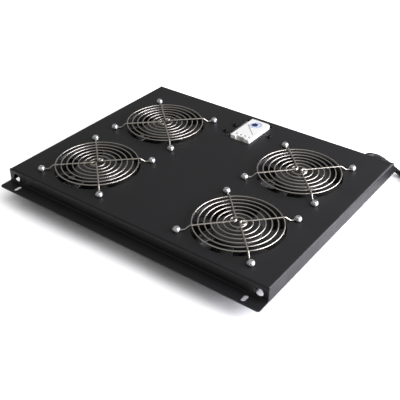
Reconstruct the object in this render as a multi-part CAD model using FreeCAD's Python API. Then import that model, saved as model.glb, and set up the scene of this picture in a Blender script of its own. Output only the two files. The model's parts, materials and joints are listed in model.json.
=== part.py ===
import FreeCAD, Part
import os
from math import atan2, cos, degrees, pi, radians, sin, sqrt, tan

# Rack fan tray: a folded steel tray with four guarded axial fans, a thermostat and a mains cord.
# The origin is on the surface the tray stands on, under the middle of the deck.
# +X runs along the flanged long sides, +Y towards the side the cord leaves, +Z up. Millimetres.

os.makedirs("parts", exist_ok=True)
V = FreeCAD.Vector
X_AXIS = V(1, 0, 0)
Y_AXIS = V(0, 1, 0)
Z_AXIS = V(0, 0, 1)

# ---- tray ----
tray_length = 410.0
tray_width = 325.0
flange_reach = 19.5
deck_height = 18.0          # top of the deck above the top of the flanges
sheet = 1.5
bend_inside = 1.5
seam_gap = 0.4              # between an end flap and the web beside it
flange_corner = 3.5
web_hole = 11.5
web_hole_inset = 12.5       # from the end of the tray
slot_width = 5.6
slot_length = 11.4
slot_inset = 24.0           # from the end of the tray

# ---- fans ----
fan_size = 120.0
fan_depth = 38.0
fan_pitch = 228.8           # between the two fans of a row
front_row_y = -87.2
rear_row_y = 59.0
screw_inset = 7.6           # fan screws from the sides of the fan
fan_rim = 2.5               # least width of the fan's flange round its bore
barrel_wall = 2.2
mouth_chamfer = 2.5         # height over which the barrel widens to the deck opening
fan_flange = 4.0
rib_thickness = 2.4
rib_turn = 9.0              # degrees from a rib to the screw beside it
fan_corner = 7.0
deck_margin = 1.0           # deck opening beyond the bore, all round
tip_gap = 1.2
hub_diameter = 63.0
hub_wall = 2.0
hub_recess = 2.5            # hub top below the top of the fan
rotor_lift = 9.0            # lower rim of the hub above the underside of the fan
motor_base = 3.2
hub_rim_gap = 2.0           # between the rotor's hub and the fixed rim below it
strut_width = 5.0
strut_count = 4
strut_turn = 12.0           # degrees from the X axis to the first strut
blade_count = 7
blade_thickness = 1.8
blade_form = (              # chord, stagger, camber and sweep at the root, middle and tip
    (31.0, 42.0, 3.0, 0.0),
    (37.0, 33.0, 3.4, 3.0),
    (43.0, 27.0, 3.6, 9.0),
)
rotor_turn = 17.0           # degrees from one fan's blades to the next fan's
shaft_diameter = 4.0
shaft_play = 0.03           # radial clearance of the shaft in its bearings
bearing_outside = 9.0
bearing_width = 4.0
bearing_tube_wall = 1.7
bearing_tube_depth = 7.5    # top of the bearing tube below the top of the hub
rotor_boss_wall = 3.0
stator_diameter = 53.0
winding_hump = 5.0          # windings above and below the core, and their distance from its edges

# ---- guards and their screws ----
ring_count = 7
ring_inside = 1.7           # outer ring's radius inside the bore's
inner_ring = 10.2           # radius of the inner ring
ring_wire = 1.7
arm_wire = 2.0
weld_sink = 0.35
guard_rise = 4.8            # ring centres above the deck
bend_outward = 2.2          # from the outer ring to where an arm turns down
arm_drop = 6.5              # reach over which it comes down to the deck
arm_bend = 3.0
arm_loop = 3.4              # radius of the loop at the middle of an arm wire
arm_offset = 1.7            # of the arms' corner from the middle of the guard
loop_lift = 1.0             # loop above the arms it crosses
screw_diameter = 4.0
screw_play = 0.5            # added to the diameter of a clearance hole
screw_head = 8.2
screw_head_height = 3.0
washer_diameter = 9.6
washer_thickness = 0.8
washer_play = 0.3           # of the washer's hole round the screw
nut_flats = 7.0
nut_height = 3.2
screw_spare = 1.3           # thread past the nut

# ---- thermostat and what carries it ----
thermostat_y = 117.0
thermostat_width = 33.0
thermostat_length = 60.0
thermostat_proud = 4.5      # cover above the deck
cover_height = 14.0
cover_corner = 2.0
cover_round = 6.0           # the one large corner of the cover
terminal_mouth = 14.0
terminal_mouth_depth = 3.0
dial_x = -2.0
dial_inset = 15.0           # dial centre from the rear face of the cover
dial_diameter = 19.0
dial_height = 1.8
dial_pocket = 2.2
dial_play = 0.05            # radial running clearance of the dial's stem
dial_lift = 0.1             # dial above the floor of its pocket
stem_diameter = 5.0
stem_length = 6.0
knob_diameter = 8.6
knob_height = 1.1
knob_groove = 0.7           # depth of the driver slot across the knob
cut_left = 24.0             # thermostat cut-out, either side of the middle
cut_right = 18.0
cut_margin = 1.4            # and beyond the cover's front and rear
bracket_sheet = 1.2
bracket_base = 2.0          # underside of the bracket above the ground
bracket_flange = 12.0
bracket_margin = 2.0        # bracket inside the cut-out's front and rear
tongue_length = 43.0        # carries the terminal block
tongue_width = 50.0
rail_width = 35.0
rail_height = 7.5
rail_sheet = 1.0
rail_lip = 4.0
rail_end_gap = 1.0          # rail to the inside of the bracket
claw_thickness = 1.6
claw_reach = 3.0            # of a base's claw past the rail
claw_width = 12.0
louvre_count = 7
louvre_pitch = 7.0
louvre_width = 2.0
louvre_depth = 1.3
louvre_margin = 4.0         # louvres inside the base's top and bottom
bracket_nut_gap = 0.36      # corner of a nut to the bracket's leg
bracket_screw_dy = 4.0      # behind the middle of the thermostat
bracket_head = 7.6
bracket_head_height = 2.6
earth_outward = 2.4         # earth screw further out than the bracket's screws
earth_forward = 18.5        # and in front of the middle of the thermostat
well_depth = 3.0
terminal_pitch = 7.0
terminal_inset = 8.0        # terminal screws from the front of the cover
groove_width = 0.8          # of a small slotted screw
groove_depth = 0.9

# ---- wiring ----
block_ways = 6
way_pitch = 8.0
block_depth = 17.0
block_height = 15.0
block_gap = 21.5            # terminal block to the front of the thermostat
block_foot = 3.0
barrel_width = 6.8
barrel_height = 11.0
stub_width = 5.4
stub_inset = 2.0            # screw stubs from the block's front and rear
way_screw = 4.0             # diameter of the clamp screws
way_screw_dy = 4.5          # clamp screws from the middle of the block
way_screw_sunk = 2.0
way_well = 6.0
block_screw = 3.0
block_screw_head = 5.2
block_screw_head_height = 1.4
block_recess = 5.6
entry_height = 5.5
lug_sheet = 0.8
lug_eye = 3.8               # outer radius of the earth lug's eye
lug_neck = 2.6
lug_reach = 15.0            # earth screw to the wire's end of the crimp
crimp_length = 6.0
crimp_radius = 2.0
well_diameter = 4.6
lead_diameter = 4.4
core_diameter = 2.6
mains_core = 2.2
cord_diameter = 6.4
plug_in_length = 9.0        # fan connector along its lead
plug_in_width = 13.0
plug_in_height = 11.0
saddle_length = 6.0
saddle_width = 10.0
saddle_wall = 2.2
saddle_play = 0.5
saddle_lip = 1.4
clip_height = 33.6          # lead centres where they are clipped under the deck

# ---- cord outside the tray ----
gland_inset = 44.5          # from the end of the tray
gland_lift = 0.5            # above the other holes of the webs, clear of the bend below
gland_bore_play = 0.3
gland_body = 9.4
gland_head = 12.6
gland_head_length = 3.0
gland_tail = 7.0            # gland body inside the web
gland_nut_flats = 13.0
gland_nut_length = 3.5
boot_length = 6.0
boot_wall = 2.0             # rubber round the cord where the boot leaves the head
boot_tip_wall = 0.7
coil_across = 96.5          # middle of the coil from the gland, along X
coil_behind = 51.5          # and behind the rear web
coil_mean = 36.0            # mean radius of the turns
coil_rows = (3, 2, 2)       # turns lying beside each other in each layer
plug_across = 86.5          # where the cord enters the plug, from the gland
plug_behind = 29.5
plug_neck = 14.0
plug_neck_wall = 1.0        # round the cord at the tip of the neck
plug_neck_inset = 2.5       # neck below the grip's faces where they meet
plug_grip = 30.0
plug_corner = 4.0
groove_count = 5
groove_pitch = 4.5
grip_groove = 2.0
grip_groove_depth = 0.7
groove_margin = 4.0         # grip grooves from the grip's top and bottom
groove_start = 5.0
plug_width = 27.4
plug_depth = 20.0
shroud_width = 24.0
shroud_depth = 16.4
shroud_length = 17.0
shroud_wall = 2.1
shroud_floor = 1.5          # web between the grip and the pins' chamber
shroud_lower_corner = 3.5
shroud_upper_corner = 1.0
pin_pitch = 7.0
pin_width = 4.0
pin_thickness = 2.0
pin_step = 4.0              # middle pin lower than the outer two
pin_short = 2.0             # pins end inside the shroud's mouth

# ---- levels and places worked out from the sizes above ----
screw_square = fan_size - 2 * screw_inset
fan_bore = fan_size - 2 * fan_rim
deck_opening = fan_bore + 2 * deck_margin
outer_ring = fan_bore / 2 - ring_inside
ring_step = (outer_ring - inner_ring) / (ring_count - 1)
guard_bend = outer_ring + bend_outward
guard_foot = guard_bend + arm_drop
bend_outside = bend_inside + sheet
deck_top = fan_depth + sheet
flange_top = deck_top - deck_height
flange_under = flange_top - sheet
web_y = tray_width / 2
flange_y = web_y + flange_reach
web_hole_z = (flange_top + deck_top - sheet) / 2 - 1.0
slot_y = web_y + flange_reach / 2 + 0.15
fan_centres = {
    "front_left": (-fan_pitch / 2, front_row_y),
    "front_right": (fan_pitch / 2, front_row_y),
    "rear_left": (-fan_pitch / 2, rear_row_y),
    "rear_right": (fan_pitch / 2, rear_row_y),
}
screw_reach = screw_square / 2
clearance_hole = screw_diameter + screw_play
barrel_radius = fan_bore / 2 + barrel_wall
hub_top = fan_depth - hub_recess
tube_bore = bearing_outside / 2
tube_outside = tube_bore + bearing_tube_wall
tube_top = hub_top - bearing_tube_depth
plug_reach = barrel_radius + plug_in_length
plug_z = fan_flange + plug_in_height / 2
ring_z = deck_top + guard_rise
arm_z = ring_z + (ring_wire + arm_wire) / 2 - weld_sink
eyelet_radius = (clearance_hole + arm_wire) / 2
cover_top = deck_top + thermostat_proud
cover_under = cover_top - cover_height
bracket_top = bracket_base + bracket_sheet
rail_top = bracket_top + rail_height
dial_y = thermostat_y + thermostat_length / 2 - dial_inset
thermostat_front = thermostat_y - thermostat_length / 2
thermostat_rear = thermostat_y + thermostat_length / 2
terminal_screw_x = [terminal_pitch * i for i in (-1.5, -0.5, 0.5, 1.5)]
terminal_screw_y = thermostat_front + terminal_inset
cut_front = thermostat_front - cut_margin
cut_rear = thermostat_rear + cut_margin
deck_under = deck_top - sheet
bracket_screw_x = cut_left + bracket_sheet + nut_flats / sqrt(3) + bracket_nut_gap
bracket_screws = [(x, thermostat_y + bracket_screw_dy) for x in (-bracket_screw_x, bracket_screw_x)]
earth_x = -bracket_screw_x - earth_outward
earth_y = thermostat_y - earth_forward
lug_top = deck_under - bracket_sheet
lug_end = earth_y - lug_reach
block_screw_hole = block_screw / 2 + 0.1
block_y = thermostat_front - block_gap - block_depth / 2
block_front = block_y - block_depth / 2
block_rear = block_y + block_depth / 2
block_x = [way_pitch * (i - (block_ways - 1) / 2) for i in range(block_ways)]
block_fixings = (-way_pitch, way_pitch)
way_screw_places = [(x, y) for x in block_x for y in (block_y - way_screw_dy, block_y + way_screw_dy)]
entry_z = bracket_top + entry_height
cord_radius = cord_diameter / 2
gland_x = tray_length / 2 - gland_inset
gland_z = web_hole_z + gland_lift
boot_end = web_y + gland_head_length + boot_length
coil_x = gland_x + coil_across
coil_y = web_y + coil_behind
plug_x = gland_x + plug_across
plug_y = web_y + plug_behind
coil_inner = coil_mean - coil_rows[0] * cord_radius
coil_outer = coil_mean + coil_rows[0] * cord_radius
coil_height = cord_diameter * len(coil_rows)
plug_height = coil_height + plug_depth / 2


# ---- general helpers ----
def corner_arc(before, corner, after, radius):
    """Tangent arc at a corner: its first, middle and last point."""
    into = (corner - before).normalize()
    out = (after - corner).normalize()
    half = into.getAngle(out) / 2
    reach = radius * tan(half)
    inward = (out - into).normalize()
    centre = corner + inward * (radius / cos(half))
    return corner - into * reach, centre - inward * radius, corner + out * reach


def rounded_wire(points, radii, closed=False):
    """Straight runs through the points, joined by tangent arcs of the given radii."""
    count = len(points)
    arcs = {}
    for i in range(count) if closed else range(1, count - 1):
        if radii[i] > 0:
            arcs[i] = corner_arc(points[i - 1], points[i], points[(i + 1) % count], radii[i])
    edges = []
    for i in range(count if closed else count - 1):
        start = arcs[i][2] if i in arcs else points[i]
        nxt = (i + 1) % count
        end = arcs[nxt][0] if nxt in arcs else points[nxt]
        if (end - start).Length > 1e-6:
            edges.append(Part.LineSegment(start, end).toShape())
        if nxt in arcs:
            edges.append(Part.Arc(*arcs[nxt]).toShape())
    return Part.Wire(edges)


def outline(corners, place):
    """Closed face from (u, v, radius) corners; place turns u and v into a point."""
    points = [place(u, v) for u, v, _ in corners]
    radii = [radius for _, _, radius in corners]
    return Part.Face(rounded_wire(points, radii, closed=True))


def plan(z):
    return lambda u, v: V(u, v, z)


def side(x):
    return lambda u, v: V(x, u, v)


def front(y):
    return lambda u, v: V(u, y, v)


def rectangle(wide, deep, radius):
    a, b = wide / 2, deep / 2
    return [(-a, -b, radius), (a, -b, radius), (a, b, radius), (-a, b, radius)]


def slab(wide, deep, z_low, z_high, radius=0.0, centre=(0, 0)):
    face = outline(rectangle(wide, deep, radius), plan(z_low))
    face.translate(V(centre[0], centre[1], 0))
    return face.extrude(V(0, 0, z_high - z_low))


def turned(profile):
    """Solid of revolution about Z from (radius, height, corner radius) points."""
    return outline(profile, front(0)).revolve(V(), Z_AXIS, 360)


def rod(radius, length, base, axis=Z_AXIS):
    return Part.makeCylinder(radius, length, base, axis)


def pipe(outer, inner, length, base, axis=Z_AXIS):
    return rod(outer, length, base, axis).cut(rod(inner, length, base, axis))


def hexagon(flats, height, base, axis=Z_AXIS):
    corner = flats / sqrt(3)
    points = [V(corner * cos(radians(a)), corner * sin(radians(a)), 0) for a in range(0, 361, 60)]
    prism = Part.Face(Part.makePolygon(points)).extrude(V(0, 0, height))
    prism.Placement = FreeCAD.Placement(base, FreeCAD.Rotation(Z_AXIS, axis))
    return prism


def moved(shape, x, y, z=0.0):
    copy = shape.copy()
    copy.translate(V(x, y, z))
    return copy


def spun(shape, angle):
    copy = shape.copy()
    copy.rotate(V(), Z_AXIS, angle)
    return copy


def run_radii(points, share):
    """Arc radius at each point: a share of the shorter run, over the tangent of half the turn."""
    radii = [0.0] * len(points)
    for i in range(1, len(points) - 1):
        into = points[i] - points[i - 1]
        out = points[i + 1] - points[i]
        half = into.getAngle(out) / 2
        radii[i] = share * min(into.Length, out.Length) / tan(half)
    return radii


def tube(name, points, diameter, share=0.45):
    """Cord along straight runs joined by tangent arcs; prints its radii, length and volume."""
    points = [V(*p) for p in points]
    radii = run_radii(points, share)
    path = rounded_wire(points, radii)
    heading = points[1] - points[0]
    section = Part.Wire(Part.makeCircle(diameter / 2, points[0], heading))
    solid = path.makePipeShell([section], True, False)
    ideal = pi * diameter ** 2 / 4 * path.Length
    tightest = min(radii[1:-1])
    print(name, "length", round(path.Length, 1), "radii", [round(r, 1) for r in radii[1:-1]])
    print("  tightest", round(tightest / diameter, 1), "diameters, volume / ideal",
          round(solid.Volume / ideal, 4))
    return solid


def export(name, *solids):
    shape = solids[0] if len(solids) == 1 else Part.makeCompound(list(solids))
    shape.exportStep("parts/" + name + ".step")
    valid = all(s.isValid() and s.Volume > 0 for s in shape.Solids)
    print(name, len(shape.Solids), "solids", round(shape.Volume), "mm3", "" if valid else "NOT VALID")


# ---- tray ----
def slot(x, y):
    """Mounting slot through a flange, its length along Y."""
    straight = slot_length - slot_width
    bar = slab(slot_width, straight, flange_under - 1, flange_top + 1, 0, (x, y))
    for end in (-1, 1):
        bar = bar.fuse(rod(slot_width / 2, sheet + 2, V(x, y + end * straight / 2, flange_under - 1)))
    return bar


def end_flap():
    """End of the deck folded down between the webs, at the +X end."""
    x = tray_length / 2
    inner = x - bend_outside
    corners = [
        (inner, deck_top, 0), (x, deck_top, bend_outside), (x, flange_under, 0),
        (x - sheet, flange_under, 0), (x - sheet, deck_under, bend_inside), (inner, deck_under, 0),
    ]
    half = web_y - sheet - seam_gap
    return outline(corners, front(-half)).extrude(V(0, 2 * half, 0))


def tray():
    skin = [(flange_y, flange_top, 0), (web_y, flange_top, bend_inside), (web_y, deck_top, bend_outside)]
    lining = [(web_y - sheet, deck_under, bend_inside), (web_y - sheet, flange_under, bend_outside),
              (flange_y, flange_under, 0)]
    mirror_skin = [(-y, z, r) for y, z, r in reversed(skin)]
    mirror_lining = [(-y, z, r) for y, z, r in reversed(lining)]
    corners = skin + mirror_skin + mirror_lining + lining
    body = outline(corners, side(-tray_length / 2)).extrude(V(tray_length, 0, 0))
    tips = [e for e in body.Edges if abs(e.BoundBox.YMax - e.BoundBox.YMin) < 1e-6
            and abs(abs(e.BoundBox.YMax) - flange_y) < 1e-6 and e.BoundBox.XLength < 1e-6]
    body = body.makeFillet(flange_corner, tips)
    gap_y = web_y - sheet
    for end in (-1, 1):
        low = min(end * tray_length / 2, end * (tray_length / 2 - bend_outside))
        body = body.cut(Part.makeBox(bend_outside, 2 * gap_y, deck_height, V(low, -gap_y, flange_top)))
    flap = end_flap()
    body = body.fuse([flap, spun(flap, 180)])
    cutters = []
    for x, y in fan_centres.values():
        cutters.append(rod(deck_opening / 2, sheet + 2, V(x, y, deck_under - 1)))
        for sx in (-1, 1):
            for sy in (-1, 1):
                at = V(x + sx * screw_reach, y + sy * screw_reach, deck_under - 1)
                cutters.append(rod(clearance_hole / 2, sheet + 2, at))
    cutters.append(slab(cut_left + cut_right, cut_rear - cut_front, deck_under - 1, deck_top + 1, 1.0,
                        ((cut_right - cut_left) / 2, (cut_front + cut_rear) / 2)))
    for x, y in bracket_screws + [(earth_x, earth_y)]:
        cutters.append(rod(clearance_hole / 2, sheet + 2, V(x, y, deck_under - 1)))
    web_x = tray_length / 2 - web_hole_inset
    for x, y in ((-web_x, -web_y), (web_x, -web_y), (-web_x, web_y)):
        cutters.append(rod(web_hole / 2, 4 * sheet, V(x, y - 2 * sheet, web_hole_z), Y_AXIS))
    gland_hole = gland_body / 2 + gland_bore_play / 2
    cutters.append(rod(gland_hole, 4 * sheet, V(gland_x, web_y - 2 * sheet, gland_z), Y_AXIS))
    slot_x = tray_length / 2 - slot_inset
    for x in (-slot_x, slot_x):
        for y in (-slot_y, slot_y):
            cutters.append(slot(x, y))
    return body.cut(cutters).removeSplitter()


# ---- fan ----
def fan_housing():
    """Die-cast frame: two square flanges, a barrel, struts, motor base and bearing tube."""
    body = slab(fan_size, fan_size, 0, fan_flange, fan_corner)
    body = body.fuse(slab(fan_size, fan_size, fan_depth - fan_flange, fan_depth, fan_corner))
    body = body.fuse(rod(barrel_radius, fan_depth, V()))
    rib = Part.makeBox(screw_reach * sqrt(2) - barrel_radius, rib_thickness, fan_depth,
                       V(barrel_radius - 1, -rib_thickness / 2, 0))
    rib_angles = (45 - rib_turn, 135 + rib_turn, 225 - rib_turn, 315 + rib_turn)
    body = body.fuse([spun(rib, angle) for angle in rib_angles])
    mouth = [(0, -1, 0), (fan_bore / 2, -1, 0), (fan_bore / 2, fan_depth - mouth_chamfer, 0),
             (deck_opening / 2, fan_depth, 0), (deck_opening / 2, fan_depth + 1, 0), (0, fan_depth + 1, 0)]
    body = body.cut(turned(mouth))
    hub = hub_diameter / 2
    rim = rotor_lift - hub_rim_gap
    base = turned([(0, 0, 0), (hub, 0, 1.0), (hub, rim, 0), (hub - hub_wall, rim, 0),
                   (hub - hub_wall, motor_base, 1.5), (tube_outside, motor_base, 0),
                   (tube_outside, tube_top, 0), (0, tube_top, 0)])
    strut = Part.makeBox(fan_bore / 2 - hub + 3, strut_width, fan_flange, V(hub - 2, -strut_width / 2, 0))
    struts = [spun(strut, 360 / strut_count * i + strut_turn) for i in range(strut_count)]
    body = body.fuse([base] + struts)
    bore = [rod(tube_bore, tube_top, V(0, 0, motor_base / 2))]
    for sx in (-1, 1):
        for sy in (-1, 1):
            bore.append(rod(clearance_hole / 2, fan_depth + 2, V(sx * screw_reach, sy * screw_reach, -1)))
    return body.cut(bore).removeSplitter()


def bearings():
    low = motor_base / 2
    high = tube_top - bearing_width
    inner = shaft_diameter / 2 + shaft_play
    return [pipe(tube_bore, inner, bearing_width, V(0, 0, z)) for z in (low, high)]


def stator():
    """Laminated core with the humps of its windings above and below."""
    inner, outer = tube_outside, stator_diameter / 2
    low, high = motor_base + winding_hump - 1, tube_top + winding_hump - 3
    core_low, core_high = low + winding_hump, high - winding_hump
    near, far = inner + winding_hump + 1, outer - winding_hump
    return turned([(inner, core_low, 0), (near, core_low, 1.5), (near, low, 1.5), (far, low, 2.5),
                   (far, core_low, 0.5), (outer, core_low, 0), (outer, core_high, 0),
                   (far, core_high, 0.5), (far, high, 2.5), (near, high, 1.5), (near, core_high, 1.5),
                   (inner, core_high, 0)])


def blade_section(reach, chord, stagger, camber, sweep, height):
    """Cambered strip across a blade, on a plane at the given distance from the axis."""
    lean = V(0, cos(radians(stagger)), sin(radians(stagger)))
    rise = V(0, -sin(radians(stagger)), cos(radians(stagger)))
    middle = V(reach, 0, height)
    tail, nose = middle - lean * (chord / 2), middle + lean * (chord / 2)
    crest = middle + rise * camber
    edge = rise * (blade_thickness / 2)
    lower = Part.Arc(tail, crest, nose).toShape()
    upper = Part.Arc(nose + edge, crest + rise * blade_thickness, tail + edge).toShape()
    wire = Part.Wire([lower, Part.makeLine(nose, nose + edge), upper, Part.makeLine(tail + edge, tail)])
    wire.rotate(V(), Z_AXIS, sweep)
    return wire


def impeller():
    """Rotor cup with swept blades in one piece, open below, boss for the shaft inside."""
    hub = hub_diameter / 2
    boss = shaft_diameter / 2 + rotor_boss_wall
    cup = turned([(0, hub_top, 0), (hub, hub_top, 3.0), (hub, rotor_lift, 0), (hub - hub_wall, rotor_lift, 0),
                  (hub - hub_wall, hub_top - hub_wall, 1.5), (boss, hub_top - hub_wall, 0.5),
                  (boss, tube_top + 1, 0), (0, tube_top + 1, 0)])
    tip = fan_bore / 2 - tip_gap
    middle = (rotor_lift + hub_top) / 2 - 1.5
    reaches = (hub * 0.8, (hub + tip) / 2, tip + 2)
    sections = [blade_section(reach, *form, middle) for reach, form in zip(reaches, blade_form)]
    blade = Part.makeLoft(sections, True, False)
    blade = blade.common(pipe(tip, hub - hub_wall / 2, fan_depth, V()))
    wheel = cup.fuse([spun(blade, 360 / blade_count * i) for i in range(blade_count)])
    return wheel.cut(rod(shaft_diameter / 2, fan_depth, V(0, 0, 0)))


def shaft():
    low = motor_base / 2 + 0.5
    return turned([(0, low, 0), (shaft_diameter / 2, low, 0.4), (shaft_diameter / 2, hub_top, 0.2),
                   (0, hub_top, 0)])


def fan_plug():
    """Plug-on connector against the barrel, pointing along +X."""
    body = slab(plug_in_length, plug_in_width, fan_flange, fan_flange + plug_in_height, 1.5)
    body = moved(body, plug_reach - plug_in_length / 2, 0)
    return body.cut(rod(barrel_radius, fan_depth, V()))


# ---- guard ----
def arm_route(first, second):
    """Arm wire from one eyelet over the rings to the next, with its corner near the middle."""
    a = V(cos(radians(first)), sin(radians(first)), 0)
    b = V(cos(radians(second)), sin(radians(second)), 0)
    low = V(0, 0, deck_top + arm_wire / 2)
    high = V(0, 0, arm_z)
    reach = screw_reach * sqrt(2) - eyelet_radius
    half = [low + a * reach, low + a * guard_foot, high + a * guard_bend]
    back = [high + b * guard_bend, low + b * guard_foot, low + b * reach]
    return half + [high + (a + b).normalize() * arm_offset] + back


def guard():
    """Concentric rings under two arm wires, each with a loop in its corner and an eyelet at each end."""
    rings = [Part.makeTorus(outer_ring - i * ring_step, ring_wire / 2, V(0, 0, ring_z))
             for i in range(ring_count)]
    wires = []
    for first, second in ((135, 225), (-45, 45)):
        points = arm_route(first, second)
        path = rounded_wire(points, [0, arm_bend, arm_bend, arm_loop, arm_bend, arm_bend, 0])
        section = Part.Wire(Part.makeCircle(arm_wire / 2, points[0], points[1] - points[0]))
        wires.append(path.makePipeShell([section], True, False))
        inward = (points[3] - V(0, 0, arm_z)).normalize()
        loop_centre = points[3] + inward * arm_loop * sqrt(2) + V(0, 0, loop_lift)
        wires.append(Part.makeTorus(arm_loop, arm_wire / 2, loop_centre))
    for sx in (-1, 1):
        for sy in (-1, 1):
            at = V(sx * screw_reach, sy * screw_reach, deck_top + arm_wire / 2)
            wires.append(Part.makeTorus(eyelet_radius, arm_wire / 2, at))
    return rings[0].fuse(rings[1:] + wires)


def pan_screw(head, head_height, seat, end):
    """Pan-head screw standing on its seat, shank down to the end."""
    shank = screw_diameter / 2
    return turned([(0, seat + head_height, 0), (head / 2 * 0.7, seat + head_height, 1.0),
                   (head / 2, seat + head_height * 0.45, 1.0), (head / 2, seat, 0.2), (shank, seat, 0),
                   (shank, end, 0.4), (0, end, 0)])


def washer(z_low):
    bore = screw_diameter / 2 + washer_play / 2
    return pipe(washer_diameter / 2, bore, washer_thickness, V(0, 0, z_low))


def nut(z_top):
    base = V(0, 0, z_top - nut_height)
    return hexagon(nut_flats, nut_height, base).cut(rod(screw_diameter / 2, nut_height, base))


# ---- thermostat ----
def thermostat_base():
    """Lower housing with louvres in its long sides and claws that grip the rail."""
    body = slab(thermostat_width - 1, thermostat_length - 1, rail_top, cover_under, cover_corner)
    louvres = []
    for side_x in (-1, 1):
        for i in range(louvre_count):
            y = louvre_pitch * (i - (louvre_count - 1) / 2)
            at = V(side_x * (thermostat_width - 1) / 2 - louvre_depth, y - louvre_width / 2,
                   rail_top + louvre_margin)
            louvres.append(Part.makeBox(2 * louvre_depth, louvre_width,
                                        cover_under - rail_top - 2 * louvre_margin, at))
    body = body.cut(louvres)
    grip, t = rail_width / 2, claw_thickness
    lip = rail_top - rail_sheet
    claw = [(grip, rail_top, 0), (grip, lip, 0), (grip - t, lip, 0), (grip - t, lip - t, 0),
            (grip + claw_reach, lip - t, 1.0), (grip + claw_reach, rail_top, 0)]
    hook = outline(claw, side(-claw_width / 2)).extrude(V(claw_width, 0, 0))
    body = body.fuse([hook, spun(hook, 180)])
    return moved(body, 0, thermostat_y).removeSplitter()


def thermostat_cover():
    """Upper shell: terminal mouth in front, dial pocket, wells for the terminal screws."""
    a, b = thermostat_width / 2, thermostat_length / 2
    corners = [(-a, -b, cover_corner), (a, -b, cover_corner), (a, b, cover_round), (-a, b, cover_corner)]
    body = outline(corners, plan(cover_under)).extrude(V(0, 0, cover_height))
    rim = [e for e in body.Edges if abs(e.BoundBox.ZMin - cover_top) < 1e-6]
    body = body.makeFillet(1.0, rim)
    body = moved(body, 0, thermostat_y)
    mouth_y = thermostat_front + terminal_mouth_depth / 2 - 1
    cutters = [slab(terminal_mouth, terminal_mouth_depth + 2, cover_under - 1, cover_top + 1,
                    0.0, (0, mouth_y))]
    at = V(dial_x, dial_y, cover_top)
    cutters.append(rod(dial_diameter / 2 + 0.4, dial_pocket, at - V(0, 0, dial_pocket)))
    bore = stem_diameter / 2 + dial_play
    cutters.append(rod(bore, stem_length + 1, at - V(0, 0, dial_pocket + stem_length + 1)))
    for x in terminal_screw_x:
        cutters.append(rod(well_diameter / 2, well_depth, V(x, terminal_screw_y, cover_top - well_depth)))
    return body.cut(cutters).removeSplitter()


def dial():
    floor = dial_pocket - dial_lift
    ring = dial_diameter / 2
    body = turned([(0, -floor - stem_length, 0), (stem_diameter / 2, -floor - stem_length, 0.4),
                   (stem_diameter / 2, -floor, 0), (ring, -floor, 0.3),
                   (ring, -floor + dial_height, 0.5), (0, -floor + dial_height, 0)])
    return moved(body, dial_x, dial_y, cover_top)


def dial_knob():
    seat = dial_height + dial_lift - dial_pocket
    body = turned([(0, seat, 0), (knob_diameter / 2, seat, 0), (knob_diameter / 2, seat + knob_height, 0.4),
                   (0, seat + knob_height, 0)])
    groove = Part.makeBox(knob_diameter - 2, groove_width, knob_groove,
                          V(1 - knob_diameter / 2, -groove_width / 2, seat + knob_height - knob_groove))
    return moved(body.cut(groove), dial_x, dial_y, cover_top)


def slotted_screw(radius, z_top, depth, centre):
    body = rod(radius, depth, V(0, 0, z_top - depth))
    groove = Part.makeBox(2 * radius, groove_width, groove_depth,
                          V(-radius, -groove_width / 2, z_top - groove_depth))
    return moved(body.cut(groove), *centre)


def rail():
    """Top-hat rail across the bracket, lips up."""
    a, b = rail_width / 2, rail_width / 2 - rail_lip
    t = rail_sheet
    corners = [(-a, rail_top, 0), (-b, rail_top, t), (-b, bracket_top + t, 0.5), (b, bracket_top + t, 0.5),
               (b, rail_top, t), (a, rail_top, 0), (a, rail_top - t, 0), (b + t, rail_top - t, 0),
               (b + t, bracket_top, t), (-b - t, bracket_top, t), (-b - t, rail_top - t, 0),
               (-a, rail_top - t, 0)]
    half = cut_left - rail_end_gap
    body = outline(corners, side(-half)).extrude(V(2 * half, 0, 0))
    return moved(body, 0, thermostat_y)


def rail_bracket():
    """Folded U under the deck, with a tongue in front for the terminal block."""
    leg = cut_left
    out, t = leg + bracket_flange, bracket_sheet
    low = bracket_base
    half = [(out, deck_under, 0), (leg, deck_under, 0.8), (leg, low + t, 0.8)]
    under = [(leg + t, low, 2.0), (leg + t, deck_under - t, 0.6), (out, deck_under - t, 0)]
    corners = half + [(-x, z, r) for x, z, r in reversed(half)]
    corners += [(-x, z, r) for x, z, r in reversed(under)] + under
    y_low, y_high = cut_front + bracket_margin, cut_rear - bracket_margin
    body = outline(corners, front(y_low)).extrude(V(0, y_high - y_low, 0))
    tongue = slab(tongue_width, tongue_length + 4, low, low + t, 3.0, (0, y_low - tongue_length / 2 + 2))
    body = body.fuse(tongue)
    holes = [rod(clearance_hole / 2, 4 * t, V(x, y, deck_under - 2 * t))
             for x, y in bracket_screws + [(earth_x, earth_y)]]
    holes += [rod(block_screw_hole, 4 * t, V(x, block_y, low - t)) for x in block_fixings]
    return body.cut(holes).removeSplitter()


def top_fastener(x, y, seat_stack):
    """Black screw through deck and bracket, and its nut below."""
    seat = deck_under - bracket_sheet - seat_stack
    screw = pan_screw(bracket_head, bracket_head_height, deck_top, seat - nut_height - screw_spare)
    return moved(screw, x, y), moved(spun(nut(seat), 30), x, y)


# ---- terminal block and small wiring parts ----
def ridge(width, low, high, corner, inset):
    """Ridge along the block with two rounded upper corners."""
    half = width / 2
    form = [(-half, low, 0), (half, low, 0), (half, high, corner), (-half, high, corner)]
    return outline(form, front(block_front + inset)).extrude(V(0, block_depth - 2 * inset, 0))


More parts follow.
